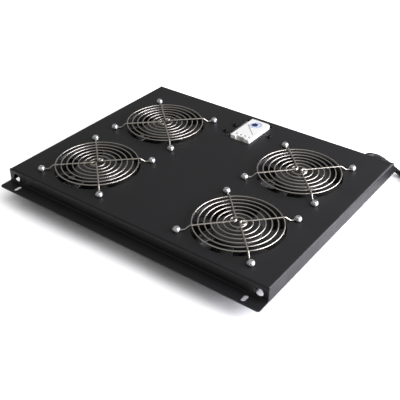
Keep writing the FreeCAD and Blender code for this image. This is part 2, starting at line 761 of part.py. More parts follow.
def terminal_block():
    """Row of rounded barrels on a thin foot, two screw wells and a wire entry in each."""
    z = bracket_top
    body = slab(way_pitch * block_ways, block_depth, z, z + block_foot, 1.0, (0, block_y))
    barrel = ridge(barrel_width, z + block_foot - 1, z + barrel_height, 3.2, 0)
    stub = ridge(stub_width, z + barrel_height - 2, z + block_height, 0.6, stub_inset)
    body = body.fuse([moved(part, x, 0) for x in block_x for part in (barrel, stub)])
    wells = [rod(way_screw / 2, way_well, V(x, y, z + block_height - way_well)) for x, y in way_screw_places]
    wells += [rod(block_screw_hole, block_foot + 2, V(x, block_y, z - 1)) for x in block_fixings]
    wells += [rod(block_recess / 2, block_height, V(x, block_y, z + block_foot)) for x in block_fixings]
    return body.cut(wells).removeSplitter()


def fixing_screw(x):
    """Small cheese-head screw through the block's foot and the tongue."""
    head, shank, seat = block_screw_head / 2, block_screw / 2, bracket_top + block_foot
    low, high = bracket_base - screw_spare, seat + block_screw_head_height
    return moved(turned([(0, high, 0), (head, high, 0.6), (head, seat, 0), (shank, seat, 0),
                         (shank, low, 0.3), (0, low, 0)]), x, block_y)


def saddle(at, angle, diameter):
    """Adhesive saddle under the deck round one cord that runs at the given angle."""
    hole = diameter / 2 + saddle_play / 2
    low = clip_height - hole - saddle_wall
    lip, half, wide = deck_under - saddle_lip, saddle_width / 2, hole + saddle_wall
    profile = [(-half, deck_under, 0), (-half, lip, 0), (-wide, lip, 0), (-wide, low, 2.0),
               (wide, low, 2.0), (wide, lip, 0), (half, lip, 0), (half, deck_under, 0)]
    body = outline(profile, side(-saddle_length / 2)).extrude(V(saddle_length, 0, 0))
    body = body.cut(rod(hole, saddle_length + 2, V(-saddle_length / 2 - 1, 0, clip_height), X_AXIS))
    return moved(spun(body, angle), at[0], at[1])


# ---- build the fans ----
housing, wheel, spindle, winding = fan_housing(), impeller(), shaft(), stator()
wire_guard, connector = guard(), fan_plug()
plug_angle = {"front_left": 45, "front_right": 135, "rear_left": -45, "rear_right": -135}
all_bearings, all_plugs, guard_screws, guard_washers, guard_nuts = [], [], [], [], []
eyelet_top = deck_top + arm_wire
seat = eyelet_top + washer_thickness
nut_seat = fan_depth - fan_flange
fan_screw = pan_screw(screw_head, screw_head_height, seat, nut_seat - nut_height - screw_spare)
for turn, (name, (x, y)) in enumerate(fan_centres.items()):
    export("fan_housing_" + name, moved(housing, x, y))
    export("fan_stator_" + name, moved(winding, x, y))
    export("fan_impeller_" + name, moved(spun(wheel, rotor_turn * turn), x, y))
    export("fan_shaft_" + name, moved(spindle, x, y))
    quarter = 90 if x < 0 else 0
    export("fan_guard_" + name, moved(spun(wire_guard, quarter), x, y))
    all_bearings += [moved(b, x, y) for b in bearings()]
    all_plugs.append(moved(spun(connector, plug_angle[name]), x, y))
    for sx in (-1, 1):
        for sy in (-1, 1):
            at = (x + sx * screw_reach, y + sy * screw_reach)
            guard_screws.append(moved(fan_screw, *at))
            guard_washers.append(moved(washer(eyelet_top), *at))
            guard_nuts.append(moved(nut(nut_seat), *at))
export("fan_bearings", *all_bearings)
export("fan_connectors", *all_plugs)
export("guard_screws", *guard_screws)
export("guard_washers", *guard_washers)
export("guard_nuts", *guard_nuts)

# ---- build the tray, the thermostat and what carries it ----
export("tray", tray())
export("thermostat_base", thermostat_base())
export("thermostat_cover", thermostat_cover())
export("thermostat_dial", dial())
export("dial_knob", dial_knob())
export("thermostat_screws", *[slotted_screw(well_diameter / 2, cover_top - 1.0, 2.0, (x, terminal_screw_y))
                              for x in terminal_screw_x])
export("mounting_rail", rail())
export("rail_bracket", rail_bracket())
pairs = [top_fastener(x, y, 0) for x, y in bracket_screws]
export("bracket_screws", *[pair[0] for pair in pairs])
export("bracket_nuts", *[pair[1] for pair in pairs])
earth_screw, earth_nut = top_fastener(earth_x, earth_y, lug_sheet)
export("earth_screw", earth_screw)
export("earth_nut", earth_nut)

# ---- build the wiring held under the deck ----
lug_base = V(earth_x, earth_y, lug_top - lug_sheet)
lug = pipe(lug_eye, screw_diameter / 2, lug_sheet, lug_base)
neck_length = lug_reach - crimp_length / 2 - screw_diameter / 2 - 0.5
lug = lug.fuse(Part.makeBox(lug_neck, neck_length, lug_sheet,
                            lug_base - V(lug_neck / 2, lug_reach - crimp_length / 2, 0)))
crimp_z = lug_top - crimp_radius
crimp = rod(crimp_radius, crimp_length, V(earth_x, lug_end, crimp_z), Y_AXIS)
export("earth_lug", lug.fuse(crimp))
earth_route = [
    (earth_x, lug_end, crimp_z), (earth_x, lug_end - 7, crimp_z), (earth_x + 4.5, lug_end - 10, 24),
    (earth_x + 8.5, lug_end - 11, 15.5), (block_x[0], lug_end - 12, entry_z),
    (block_x[0], block_rear, entry_z)]
export("earth_wire", tube("earth_wire", earth_route, core_diameter, 0.42))
export("terminal_block", terminal_block())
way_screw_top = bracket_top + block_height - way_screw_sunk
export("terminal_screws", *[slotted_screw(way_screw / 2, way_screw_top, 3.0, at) for at in way_screw_places])
export("block_fixing_screws", *[fixing_screw(x) for x in block_fixings])
thermostat_leads = []
for x, way in ((-5, block_x[1]), (3, block_x[2])):
    lead_route = [
        (x, thermostat_front + 0.5, 20), (x, thermostat_front - 7, 20),
        (way, thermostat_front - 13, entry_z), (way, block_rear, entry_z)]
    thermostat_leads.append(tube("thermostat_lead", lead_route, core_diameter, 0.4))
export("thermostat_leads", *thermostat_leads)

# Fan leads: out of the connector, up to a saddle under the deck, down to the block.
reach = plug_reach / sqrt(2)
inner_way, outer_way = way_pitch / 2, 1.5 * way_pitch
lead_start = fan_pitch / 2 - reach
saddles = []
for mirror, side_name in ((-1, "left"), (1, "right")):
    front_route = [
        (lead_start, front_row_y + reach, plug_z), (lead_start - 11, front_row_y + reach + 11, plug_z),
        (43, -16, 23), (31, -6, clip_height), (16, 3, clip_height), (6, 14, clip_height), (inner_way, 26, 28),
        (inner_way, 32.5, 17.5), (inner_way, 39, entry_z), (inner_way, block_front, entry_z)]
    rear_route = [
        (lead_start, rear_row_y - reach, plug_z), (lead_start - 9, rear_row_y - reach - 9, plug_z),
        (48, -2, 23), (38, 4, clip_height), (27, 14, clip_height), (17, 22, 32), (outer_way + 0.5, 28, 24),
        (outer_way, 33.5, 15.5), (outer_way, 39.5, entry_z), (outer_way, block_front, entry_z)]
    for row, route in (("front", front_route), ("rear", rear_route)):
        name = "fan_lead_" + row + "_" + side_name
        export(name, tube(name, [(mirror * x, y, z) for x, y, z in route], lead_diameter, 0.4))
        (x1, y1, z1), (x2, y2, z2) = route[3], route[4]
        angle = degrees(atan2(y2 - y1, mirror * (x2 - x1)))
        saddles.append(saddle((mirror * (x1 + x2) / 2, (y1 + y2) / 2), angle, lead_diameter))

# Mains cord: through the gland, along the rear of the deck, its cores to the block.
cord_y = web_y - 28.5
jacket_end = V(29, 80, 13.5)
inner_route = [
    (gland_x, boot_end, gland_z), (gland_x, web_y - 13.5, gland_z), (gland_x - 5.6, web_y - 22.9, 30.2),
    (gland_x - 15.3, cord_y, 31.8), (gland_x - 36, cord_y, clip_height), (gland_x - 76, cord_y, clip_height),
    (64, cord_y - 0.5, 33), (51, cord_y - 8, 32), (45, 112, 30), (44, 97, 26), (39, 87, 19),
    (jacket_end.x, jacket_end.y, jacket_end.z)]
export("cord_inside", tube("cord_inside", inner_route, cord_diameter, 0.42))
heading = (jacket_end - V(*inner_route[-2])).normalize()
across = heading.cross(Z_AXIS).normalize()
spread = mains_core / sqrt(3) + 0.2
cores = []
for i, way in enumerate(block_x[3:]):
    aside = across * cos(radians(120 * i - 30)) + heading.cross(across) * sin(radians(120 * i - 30))
    start = jacket_end + aside * spread
    bend = start + heading * (4 + 1.5 * i)
    drop = V(way, block_rear + 7.0, entry_z)
    cores.append(tube("mains_core", [start, bend, drop, V(way, block_rear, entry_z)], mains_core, 0.42))
export("mains_cores", *cores)
saddles.append(saddle((gland_x - 57, cord_y), 0, cord_diameter))
export("cable_saddles", *saddles)

# ---- build the gland, the cord outside, its coil and its plug ----
at = V(gland_x, web_y, gland_z)
inner_end = at - V(0, sheet + gland_tail, 0)
gland = rod(gland_head / 2, gland_head_length, at, Y_AXIS)
gland = gland.fuse(rod(gland_body / 2, sheet + gland_tail, inner_end, Y_AXIS))
boot = Part.makeCone(cord_radius + boot_wall, cord_radius + boot_tip_wall, boot_length,
                     at + V(0, gland_head_length, 0), Y_AXIS)
cord_hole = rod(cord_radius, boot_end - inner_end.y, inner_end, Y_AXIS)
export("cord_gland", gland.fuse(boot).cut(cord_hole))
ring_nut = hexagon(gland_nut_flats, gland_nut_length, at - V(0, sheet, 0), V(0, -1, 0))
export("gland_nut", ring_nut.cut(rod(gland_body / 2, 20, at - V(0, 10, 0), Y_AXIS)))

export("cord_coil", pipe(coil_outer, coil_inner, coil_height, V(coil_x, coil_y, 0)))
outer_route = [
    (gland_x, boot_end, gland_z), (gland_x, web_y + 16, gland_z), (gland_x + 3.7, web_y + 23.5, 26.4),
    (gland_x + 11, web_y + 28.3, 22.6), (gland_x + 20, web_y + 31.3, 17.4), (gland_x + 30, web_y + 33.5, 11.4),
    (gland_x + 40.5, web_y + 33.5, 6.2), (gland_x + 51, web_y + 30.8, 3.8),
    (gland_x + 60.5, web_y + 25.5, cord_radius), (gland_x + 68.5, web_y + 17.5, cord_radius)]
export("cord_outside", tube("cord_outside", outer_route, cord_diameter))
tail_route = [
    (gland_x + 66, web_y + 69.5, 16), (gland_x + 60.5, web_y + 59, 17), (gland_x + 59.5, web_y + 46.5, 20),
    (gland_x + 64.5, web_y + 36, 25.5), (gland_x + 74.5, plug_y, plug_height), (plug_x, plug_y, plug_height)]
export("cord_tail", tube("cord_tail", tail_route, cord_diameter))


def inlet_plug():
    """Moulded plug along +X: tapered neck, ribbed grip, shroud round the pins' chamber."""
    neck = Part.makeCone(cord_radius + plug_neck_wall, plug_depth / 2 - plug_neck_inset, plug_neck + 1,
                         V(), X_AXIS)
    grip = outline(rectangle(plug_width, plug_depth, plug_corner), side(plug_neck))
    grip = grip.extrude(V(plug_grip, 0, 0))
    a, b = shroud_width / 2, shroud_depth / 2
    low, high = shroud_lower_corner, shroud_upper_corner
    form = [(-a, -b, low), (a, -b, low), (a, b, high), (-a, b, high)]
    skirt = outline(form, side(plug_neck + plug_grip)).extrude(V(shroud_length, 0, 0))
    inner = [(u * (1 - shroud_wall / a), v * (1 - shroud_wall / b), r * 0.6) for u, v, r in form]
    chamber = outline(inner, side(plug_neck + plug_grip + shroud_floor)).extrude(V(shroud_length, 0, 0))
    grooves = []
    for i in range(groove_count):
        for end in (-1, 1):
            corner = V(plug_neck + groove_start + groove_pitch * i,
                       end * plug_width / 2 - grip_groove_depth, groove_margin - plug_depth / 2)
            grooves.append(Part.makeBox(grip_groove, 2 * grip_groove_depth,
                                        plug_depth - 2 * groove_margin, corner))
    return neck.fuse([grip, skirt]).cut([chamber] + grooves)


def plug_pins():
    x = plug_neck + plug_grip + shroud_floor
    length = shroud_length - shroud_floor - pin_short
    pins = []
    for i in (-1, 0, 1):
        z = pin_step / 2 if i else -pin_step / 2
        low = V(x, i * pin_pitch - pin_thickness / 2, z - pin_width / 2)
        pins.append(Part.makeBox(length, pin_thickness, pin_width, low))
    return pins


plug_at = (plug_x, plug_y, plug_height)
export("plug_body", moved(inlet_plug(), *plug_at))
export("plug_pins", *[moved(pin, *plug_at) for pin in plug_pins()])
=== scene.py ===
# %% [markdown]
# # Rack fan tray
# A fan tray is a shallow folded steel tray that bolts into the roof or between the shelves of a
# server rack. Four mains fans hang under its deck and blow up through round openings, each behind
# a wire finger guard. A small thermostat between the rear fans switches them on when it gets warm.
#
# The construction is loaded first, as a set of solids in one shared frame in metres. This script
# adds what the solids don't have: surface finishes, drawn wire, screw recesses, wires and the
# mains cord, and then the camera and the light.

# %% Load the solids
import bmesh
import bpy
import json
import math
from mathutils import Matrix, Quaternion, Vector


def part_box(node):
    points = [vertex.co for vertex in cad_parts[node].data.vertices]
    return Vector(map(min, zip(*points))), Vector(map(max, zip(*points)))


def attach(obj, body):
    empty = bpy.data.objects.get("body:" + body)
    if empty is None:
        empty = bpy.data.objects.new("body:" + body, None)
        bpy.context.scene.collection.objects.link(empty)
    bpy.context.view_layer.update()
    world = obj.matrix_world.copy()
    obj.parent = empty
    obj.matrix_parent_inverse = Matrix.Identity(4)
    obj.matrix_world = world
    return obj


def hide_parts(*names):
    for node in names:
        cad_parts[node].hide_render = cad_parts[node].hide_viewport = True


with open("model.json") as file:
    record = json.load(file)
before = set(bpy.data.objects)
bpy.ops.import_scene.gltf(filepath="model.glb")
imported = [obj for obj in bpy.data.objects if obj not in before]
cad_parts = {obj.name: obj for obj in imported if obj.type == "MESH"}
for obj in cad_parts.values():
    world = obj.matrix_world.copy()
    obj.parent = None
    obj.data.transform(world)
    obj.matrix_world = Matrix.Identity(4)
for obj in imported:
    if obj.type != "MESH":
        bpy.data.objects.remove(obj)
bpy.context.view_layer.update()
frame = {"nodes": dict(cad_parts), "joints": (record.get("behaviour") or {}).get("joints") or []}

MM = 0.001
nodes = frame["nodes"]

# %% [markdown]
# ## Camera
# A product like this is shown from above one corner, so that the deck, one long side and one end
# all show. The camera is given as a designer would say it: what it looks at, from which compass
# direction, how high and how far away. A fairly long lens keeps the far edge from shrinking.

# %% Camera
def aimed(azimuth, elevation):
    """Direction from the camera into the scene. Azimuth 0 looks along +Y, 90 along -X."""
    a, e = math.radians(azimuth), math.radians(elevation)
    return Vector((-math.sin(a) * math.cos(e), math.cos(a) * math.cos(e), -math.sin(e)))


deck_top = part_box("tray")[1].z
view_target = Vector((45.72 * MM, -70.53 * MM, deck_top))
view_direction = aimed(36.135, 34.176)
view_distance = 891.96 * MM
camera_data = bpy.data.cameras.new("studio_camera")
camera_data.sensor_width = 36.0
camera_data.lens = 63.73
camera = bpy.data.objects.new("studio_camera", camera_data)
camera.location = view_target - view_direction * view_distance
camera.rotation_mode = "QUATERNION"
camera_roll = Quaternion((0, 0, 1), math.radians(0.37))
camera.rotation_quaternion = view_direction.to_track_quat("-Z", "Y") @ camera_roll
bpy.context.scene.collection.objects.link(camera)
bpy.context.scene.camera = camera
bpy.context.scene.view_settings.view_transform = "Standard"
print("camera at", [round(v, 3) for v in camera.location])

# %% [markdown]
# ## Helpers for node trees
# Shader trees and geometry trees are both built from nodes with settings and links, so one small
# function serves them all. Colours are written as the usual sRGB hex values and turned to the
# linear values that the renderer works in.

# %% Node and colour helpers
def add(tree, kind, inputs=None, **settings):
    """Adds a node; inputs are given by socket name or number, as values or as other sockets."""
    item = tree.nodes.new(kind)
    for name, value in settings.items():
        setattr(item, name, value)
    for key, value in (inputs or {}).items():
        if isinstance(value, bpy.types.NodeSocket):
            tree.links.new(value, item.inputs[key])
        else:
            item.inputs[key].default_value = value
    return item


def linear(hex_text):
    """Linear RGBA from an sRGB hex colour such as 8a8a8e."""
    channels = [int(hex_text[i:i + 2], 16) / 255 for i in (0, 2, 4)]
    return [c / 12.92 if c <= 0.04045 else ((c + 0.055) / 1.055) ** 2.4 for c in channels] + [1.0]


def empty_material(name):
    """Material without any node yet, and its tree."""
    made = bpy.data.materials.new(name)
    made.use_nodes = True
    made.node_tree.nodes.clear()
    return made, made.node_tree


print("mid grey 808080 is", round(linear("808080")[0], 3), "in linear light")

# %% [markdown]
# ## Floor
# A plain pale sheet carries the tray. It is lit like the tray, so the tray keeps its soft shadow,
# and a little light of its own, which only the eye and reflections see, lifts it to paper white.
# A glowing sheet alone would show no shadow at all. The lift dies away where something stands
# within a few centimetres over the paper, so that the fans open on darkness: an Ambient Occlusion
# node measures how open the paper is, and a power makes the fall steeper.

# %% Floor
lift_strength = 0.8
lift_reach = 65 * MM
lift_falloff = 2.5


def studio_paper():
    """Matt paper with a lift of its own light where nothing stands over it."""
    made, tree = empty_material("studio_paper")
    rays = add(tree, "ShaderNodeLightPath").outputs
    eye_or_gloss = add(tree, "ShaderNodeMath", {
        0: rays["Is Camera Ray"], 1: rays["Is Glossy Ray"]}, operation="MAXIMUM")
    seen = add(tree, "ShaderNodeMath", {
        0: eye_or_gloss.outputs[0], 1: rays["Is Transmission Ray"]}, operation="MAXIMUM")
    openness = add(tree, "ShaderNodeAmbientOcclusion", {"Distance": lift_reach}, samples=8)
    faded = add(tree, "ShaderNodeMath", {
        0: openness.outputs["AO"], 1: lift_falloff}, operation="POWER")
    level = add(tree, "ShaderNodeMath", {
        0: faded.outputs[0], 1: lift_strength}, operation="MULTIPLY")
    lift = add(tree, "ShaderNodeMath", {
        0: seen.outputs[0], 1: level.outputs[0]}, operation="MULTIPLY")
    paper = add(tree, "ShaderNodeBsdfDiffuse", {"Color": linear("f4f4f4")})
    glow = add(tree, "ShaderNodeEmission", {"Color": linear("ffffff"), "Strength": lift.outputs[0]})
    both = add(tree, "ShaderNodeAddShader", {0: paper.outputs[0], 1: glow.outputs[0]})
    add(tree, "ShaderNodeOutputMaterial", {"Surface": both.outputs[0]})
    return made


half = 6.0
floor_corners = [(-half, -half, 0), (half, -half, 0), (half, half, 0), (-half, half, 0)]
floor_mesh = bpy.data.meshes.new("studio_floor")
floor_mesh.from_pydata(floor_corners, [], [(0, 1, 2, 3)])
floor_mesh.materials.append(studio_paper())
floor = bpy.data.objects.new("studio_floor", floor_mesh)
bpy.context.scene.collection.objects.link(floor)
print("floor", 2 * half, "m square")

# %% [markdown]
# ## Light
# The main light is a large softbox standing low beyond the right end: it rakes along the deck,
# lights the end flap full on and draws the bright arcs on the guards. A weaker one hangs overhead.
# An even light from all round keeps the shaded web readable. The eye sees that surround as white,
# so that the picture stays white where the paper ends.

# %% World and softboxes
def world_light(strength):
    """Even light from all round, which the eye sees as white."""
    world = bpy.data.worlds.new("studio_world")
    bpy.context.scene.world = world
    world.use_nodes = True
    tree = world.node_tree
    tree.nodes.clear()
    rays = add(tree, "ShaderNodeLightPath").outputs
    level = add(tree, "ShaderNodeMapRange", {
        "Value": rays["Is Camera Ray"], "To Min": strength, "To Max": 1.0})
    sky = add(tree, "ShaderNodeBackground", {
        "Color": linear("ffffff"), "Strength": level.outputs["Result"]})
    add(tree, "ShaderNodeOutputWorld", {"Surface": sky.outputs[0]})


def softbox(name, direction, distance, size, power, colour):
    """Rectangular area light that faces the middle of the deck from the given direction."""
    data = bpy.data.lights.new(name, "AREA")
    data.shape = "RECTANGLE"
    data.size, data.size_y = size
    data.energy = power
    data.color = linear(colour)[:3]
    lamp = bpy.data.objects.new(name, data)
    away = Vector(direction).normalized()
    lamp.location = Vector((0, 0, deck_top)) + away * distance
    lamp.rotation_mode = "QUATERNION"
    lamp.rotation_quaternion = (-away).to_track_quat("-Z", "Y")
    bpy.context.scene.collection.objects.link(lamp)


world_light(0.33)
softbox("right_softbox", (0.88, 0.32, 0.34), 0.95, (1.3, 0.6), 26.0, "f4f4ff")
softbox("overhead_softbox", (0.15, 0.25, 1.0), 1.6, (1.2, 1.2), 3.2, "ffffff")

# %% [markdown]
# ## Finishes
# The tray's surfaces are paint, plastic and plated metal, and none of them is perfectly even: the
# colour and the sheen drift over a centimetre or more, and a fine grain breaks up the highlights.
# An image could give that too, but noise on the object's own coordinates has no seams and its size
# can be written in millimetres. So one function makes every finish from two noises, a broad one
# for the drift and a fine one for the relief. The real grain is mostly finer than a millimetre. It
# is drawn about a millimetre coarse, because a finer one would not show.

# %% One uneven finish
def uneven_finish(name, colour, shade, sheen, grain, drift, ior=1.5, specular=0.5, metallic=0.0):
    """Surface that drifts from colour to shade and over the sheen's range of roughness.

    grain is the size and depth of the relief, drift the size and detail of the unevenness, with
    sizes in millimetres.
    """
    made, tree = empty_material(name)
    place = add(tree, "ShaderNodeTexCoord").outputs["Object"]
    broad = add(tree, "ShaderNodeTexNoise", {
        "Vector": place, "Scale": 1 / (drift[0] * MM), "Detail": drift[1]}).outputs["Fac"]
    fine = add(tree, "ShaderNodeTexNoise", {
        "Vector": place, "Scale": 1 / (grain[0] * MM), "Detail": 2.0}).outputs["Fac"]
    tint = add(tree, "ShaderNodeMix", {"Factor": broad, 6: linear(colour), 7: linear(shade)},
               data_type="RGBA")
    # The noise seldom leaves 0.3 to 0.7, so that part of it spans the whole range of the sheen.
    roughness = add(tree, "ShaderNodeMapRange", {
        "Value": broad, "From Min": 0.3, "From Max": 0.7, "To Min": sheen[0], "To Max": sheen[1]})
    relief = add(tree, "ShaderNodeBump", {"Height": fine, "Distance": grain[1] * MM})
    surface = add(tree, "ShaderNodeBsdfPrincipled", {
        "Base Color": tint.outputs[2], "Roughness": roughness.outputs["Result"],
        "Normal": relief.outputs["Normal"], "IOR": ior, "Specular IOR Level": specular,
        "Metallic": metallic})
    add(tree, "ShaderNodeOutputMaterial", {"Surface": surface.outputs["BSDF"]})
    return made


def moulded(name, colour, shade, sheen, grain, specular=0.5):
    """Plastic or enamel from a mould: spark-eroded grain, sheen that drifts over 14 mm."""
    return uneven_finish(name, colour, shade, sheen, grain, (14, 2.0), 1.53, specular)


def plated(name, colour, shade, sheen, grain=(0.7, 0.004)):
    """Plated or ground metal: its own tint, cloudiness about 6 mm wide, fine drawing marks."""
    return uneven_finish(name, colour, shade, sheen, grain, (6, 3.0), metallic=1.0)


print("a grain of 1 mm is noise of scale", round(1 / MM))

# %% [markdown]
# ## Paint and plastics
# Black is the hardest colour to get right, because most of what the eye gets from it is sheen. The
# powder coat is duller than the enamel of the castings, and the cord's rubbery sheath is dullest.

# %% Paint and plastics
# Powder coat, baked polyester on the folded steel: satin, with soft pebbles and wide dull patches.
powder = uneven_finish("black_powder_coat", "171718", "1c1c1d", (0.42, 0.52), (1.3, 0.03),
                       (38, 3.0), specular=0.32)
# Enamel sprayed on die-cast aluminium: a little glossier, over a coarse cast skin.
enamel = moulded("black_cast_enamel", "1d1d1f", "242426", (0.34, 0.48), (0.7, 0.03))
# Glass-filled plastic of the rotors: greyish black, its fibres give a dry sheen.
rotor_black = moulded("glass_filled_black_plastic", "1a1a1c", "222225", (0.38, 0.5), (1.1, 0.02))
# Polyamide of the gland, the plug and the saddles: deep black with a weak highlight.
moulded_black = moulded("black_polyamide", "131314", "18181a", (0.45, 0.58), (0.8, 0.012), 0.35)
# ABS of the thermostat: smooth and slightly warm, its dial pale blue round a dark blue centre.
cream = moulded("cream_abs", "f1f0ea", "ecebe4", (0.32, 0.42), (1.2, 0.008))
pale_blue = moulded("pale_blue_abs", "d3dcf0", "dce3f4", (0.32, 0.4), (1.0, 0.006))
dark_blue = moulded("dark_blue_abs", "1f2c5e", "1b2650", (0.3, 0.4), (1.0, 0.006))
# Pad-printed ink: one flat grey, as glossy as the plastic under it.
print_grey = moulded("grey_pad_print", "9c9f9c", "9c9f9c", (0.36, 0.5), (1.0, 0.004))
# Uncoloured polyamide of the terminal block: milky and a little yellow.
natural_nylon = moulded("natural_polyamide", "d8d4c4", "cfcab8", (0.3, 0.42), (1.1, 0.01))
# Sheaths: soft PVC on the mains cord, almost without a highlight, and silicone on the leads.
cord_pvc = moulded("black_pvc_sheath", "0e0e0f", "131314", (0.5, 0.62), (2.2, 0.02), 0.25)
lead_black = moulded("black_silicone_insulation", "151516", "1c1c1d", (0.38, 0.5), (1.5, 0.01))
print("paint and plastics:", len(bpy.data.materials) - 1)

# %% [markdown]
# ## Metals
# A metal's colour is the colour of its reflections, so these differ by tint and by how sharply
# they mirror the softbox: the ground shafts most, the plated nuts and screws less.

# %% Metals
# Nickel on drawn wire: slightly warm, with long soft highlights.
nickel_wire = plated("nickel_plated_wire", "c3beb4", "b2ada2", (0.3, 0.36), (2.5, 0.002))
# Nickel on the screws' heads: neutral and bright.
nickel_screw = plated("nickel_plated_screw", "e4e4e5", "d6d7d9", (0.34, 0.42), (1.5, 0.002))
# Zinc on nuts, rail and bracket: bluish grey and cloudy.
zinc = plated("bright_zinc_plate", "a9adb3", "979ba2", (0.28, 0.42), (1.6, 0.006))
# Ground steel of shafts and bearings: clean, with the sharpest highlights here.
ground_steel = plated("ground_steel", "b4b5b7", "a3a4a6", (0.2, 0.3))
# Tin on the earth lug: soft, faintly warm grey.
tin = plated("tin_plated_copper", "bcbab4", "a8a69e", (0.3, 0.42))
# Brass clamp screws: yellowish.
brass = plated("plated_brass_screw", "b9a878", "a3946b", (0.26, 0.38))
# Black passivated steel: dark with a metallic edge.
black_oxide = plated("black_passivated_steel", "2c2c2f", "232326", (0.3, 0.42))
# Enamelled copper of the windings: orange brown, with the wires' ridges as relief.
copper = plated("enamelled_copper", "b06a3a", "8f5228", (0.25, 0.35), (0.5, 0.05))
print("finishes:", len(bpy.data.materials) - 1)

# %% [markdown]
# ## Earth insulation
# An earth wire is known by its green and yellow stripes, moulded along it in equal shares. A wave
# texture cut off at its middle gives stripes with hard edges.

# %% Yellow and green earth insulation
def earth_insulation():
    """Two-colour sheath: green stripes about as wide as the yellow ones."""
    made, tree = empty_material("yellow_green_insulation")
    place = add(tree, "ShaderNodeTexCoord").outputs["Object"]
    stripe_pitch = 9 * MM
    stripes = add(tree, "ShaderNodeTexWave", {
        "Vector": place, "Scale": 1 / stripe_pitch, "Distortion": 0.4}, bands_direction="DIAGONAL")
    green = add(tree, "ShaderNodeMath", {0: stripes.outputs["Fac"], 1: 0.5},
                operation="GREATER_THAN")
    colour = add(tree, "ShaderNodeMix", {
        "Factor": green.outputs[0], 6: linear("c9c422"), 7: linear("2c7a2e")}, data_type="RGBA")
    surface = add(tree, "ShaderNodeBsdfPrincipled", {
        "Base Color": colour.outputs[2], "Roughness": 0.4, "IOR": 1.53})
    add(tree, "ShaderNodeOutputMaterial", {"Surface": surface.outputs["BSDF"]})
    return made


lead_earth = earth_insulation()
print("made", lead_earth.name)

# %% [markdown]
# ## Dressing the solids
# Most solids have their real shape already and only need a finish. Each node gets the finish of
# the material it is made of.

# %% Give each solid its finish
positions = ("front_left", "front_right", "rear_left", "rear_right")
finish_of = {
    "tray": powder, "fan_bearings": ground_steel, "fan_connectors": moulded_black,
    "guard_screws": nickel_screw, "guard_washers": nickel_screw, "guard_nuts": zinc,
    "thermostat_base": cream, "thermostat_cover": cream, "thermostat_dial": pale_blue,
    "dial_knob": dark_blue, "thermostat_screws": nickel_screw, "mounting_rail": zinc,
    "rail_bracket": zinc, "bracket_screws": black_oxide, "bracket_nuts": zinc,
    "earth_screw": black_oxide, "earth_nut": zinc, "earth_lug": tin, "earth_wire": lead_earth,
    "terminal_block": natural_nylon, "terminal_screws": brass, "block_fixing_screws": zinc,
    "thermostat_leads": lead_black, "cord_inside": cord_pvc, "mains_cores": lead_black,
    "cable_saddles": moulded_black, "cord_gland": moulded_black, "gland_nut": moulded_black,
    "cord_coil": cord_pvc, "cord_outside": cord_pvc, "cord_tail": cord_pvc,
    "plug_body": moulded_black, "plug_pins": nickel_screw,
}
for place in positions:
    finish_of["fan_housing_" + place] = enamel
    finish_of["fan_stator_" + place] = copper
    finish_of["fan_impeller_" + place] = rotor_black
    finish_of["fan_shaft_" + place] = ground_steel
    finish_of["fan_guard_" + place] = nickel_wire
    finish_of["fan_lead_" + place] = lead_black
for name, solid in nodes.items():
    solid.data.materials.clear()
    solid.data.materials.append(finish_of[name])
print("dressed", len(nodes), "solids")

# %% [markdown]
# ## Helpers for pieces
# A piece made by a geometry tree starts as a small carrier mesh, such as a few points or a bent
# line. The tree's sizes are named inputs of the modifier. The result is then turned into one plain
# mesh, so that nothing depends on the tree afterwards, and the carrier is thrown away.

# %% Piece helpers
def linked(name, mesh, finish=None):
    """Object at the origin for a finished mesh or curve."""
    made = bpy.data.objects.new(name, mesh)
    bpy.context.scene.collection.objects.link(made)
    if finish:
        mesh.materials.append(finish)
    return made


def carrier(name, points, edges=()):
    """Mesh of points in millimetres, with edges where a line is wanted."""
    mesh = bpy.data.meshes.new(name)
    mesh.from_pydata([Vector(p) * MM for p in points], list(edges), [])
    return linked(name, mesh)


def geometry_tree(name, inputs):
    """Geometry tree with named inputs, given as name: socket kind."""
    tree = bpy.data.node_groups.new(name, "GeometryNodeTree")
    tree.interface.new_socket("Geometry", in_out="INPUT", socket_type="NodeSocketGeometry")
    for label, kind in inputs.items():
        tree.interface.new_socket(label, in_out="INPUT", socket_type="NodeSocket" + kind)
    tree.interface.new_socket("Geometry", in_out="OUTPUT", socket_type="NodeSocketGeometry")
    return tree, add(tree, "NodeGroupInput").outputs


def finish_tree(tree, geometry, finish, smooth=True):
    """Ends a tree: real geometry in place of instances, smooth shading and the finish."""
    real = add(tree, "GeometryNodeRealizeInstances", {"Geometry": geometry}).outputs["Geometry"]
    shaded = add(tree, "GeometryNodeSetShadeSmooth", {"Geometry": real, "Shade Smooth": smooth})
    dressed = add(tree, "GeometryNodeSetMaterial", {"Geometry": shaded.outputs["Geometry"],
                                                    "Material": finish})
    add(tree, "NodeGroupOutput", {"Geometry": dressed.outputs["Geometry"]})


def grown(name, start, tree, values):
    """Runs a tree on a carrier with the given input values and keeps the plain result."""
    modifier = start.modifiers.new(tree.name, "NODES")
    modifier.node_group = tree
    for item in tree.interface.items_tree:
        if item.in_out == "INPUT" and item.name in values:
            modifier[item.identifier] = values[item.name]
    bpy.context.view_layer.update()
    evaluated = start.evaluated_get(bpy.context.evaluated_depsgraph_get())
    mesh = bpy.data.meshes.new_from_object(evaluated)
    mesh.name = name
    start.modifiers.remove(modifier)
    bpy.data.objects.remove(start)
    return linked(name, mesh)


# %% [markdown]
# ## Finger guards
# A finger guard is seven rings of drawn steel wire, resistance-welded under two longer wires. Each
# of those starts in an eyelet under one screw, runs over the rings, winds once round itself in a
# small loop at the middle and ends in the eyelet of the next screw. The rings differ only in their
# radius, so a geometry tree makes them from a count and a step. The long wires follow a line of
# corners that the tree rounds.

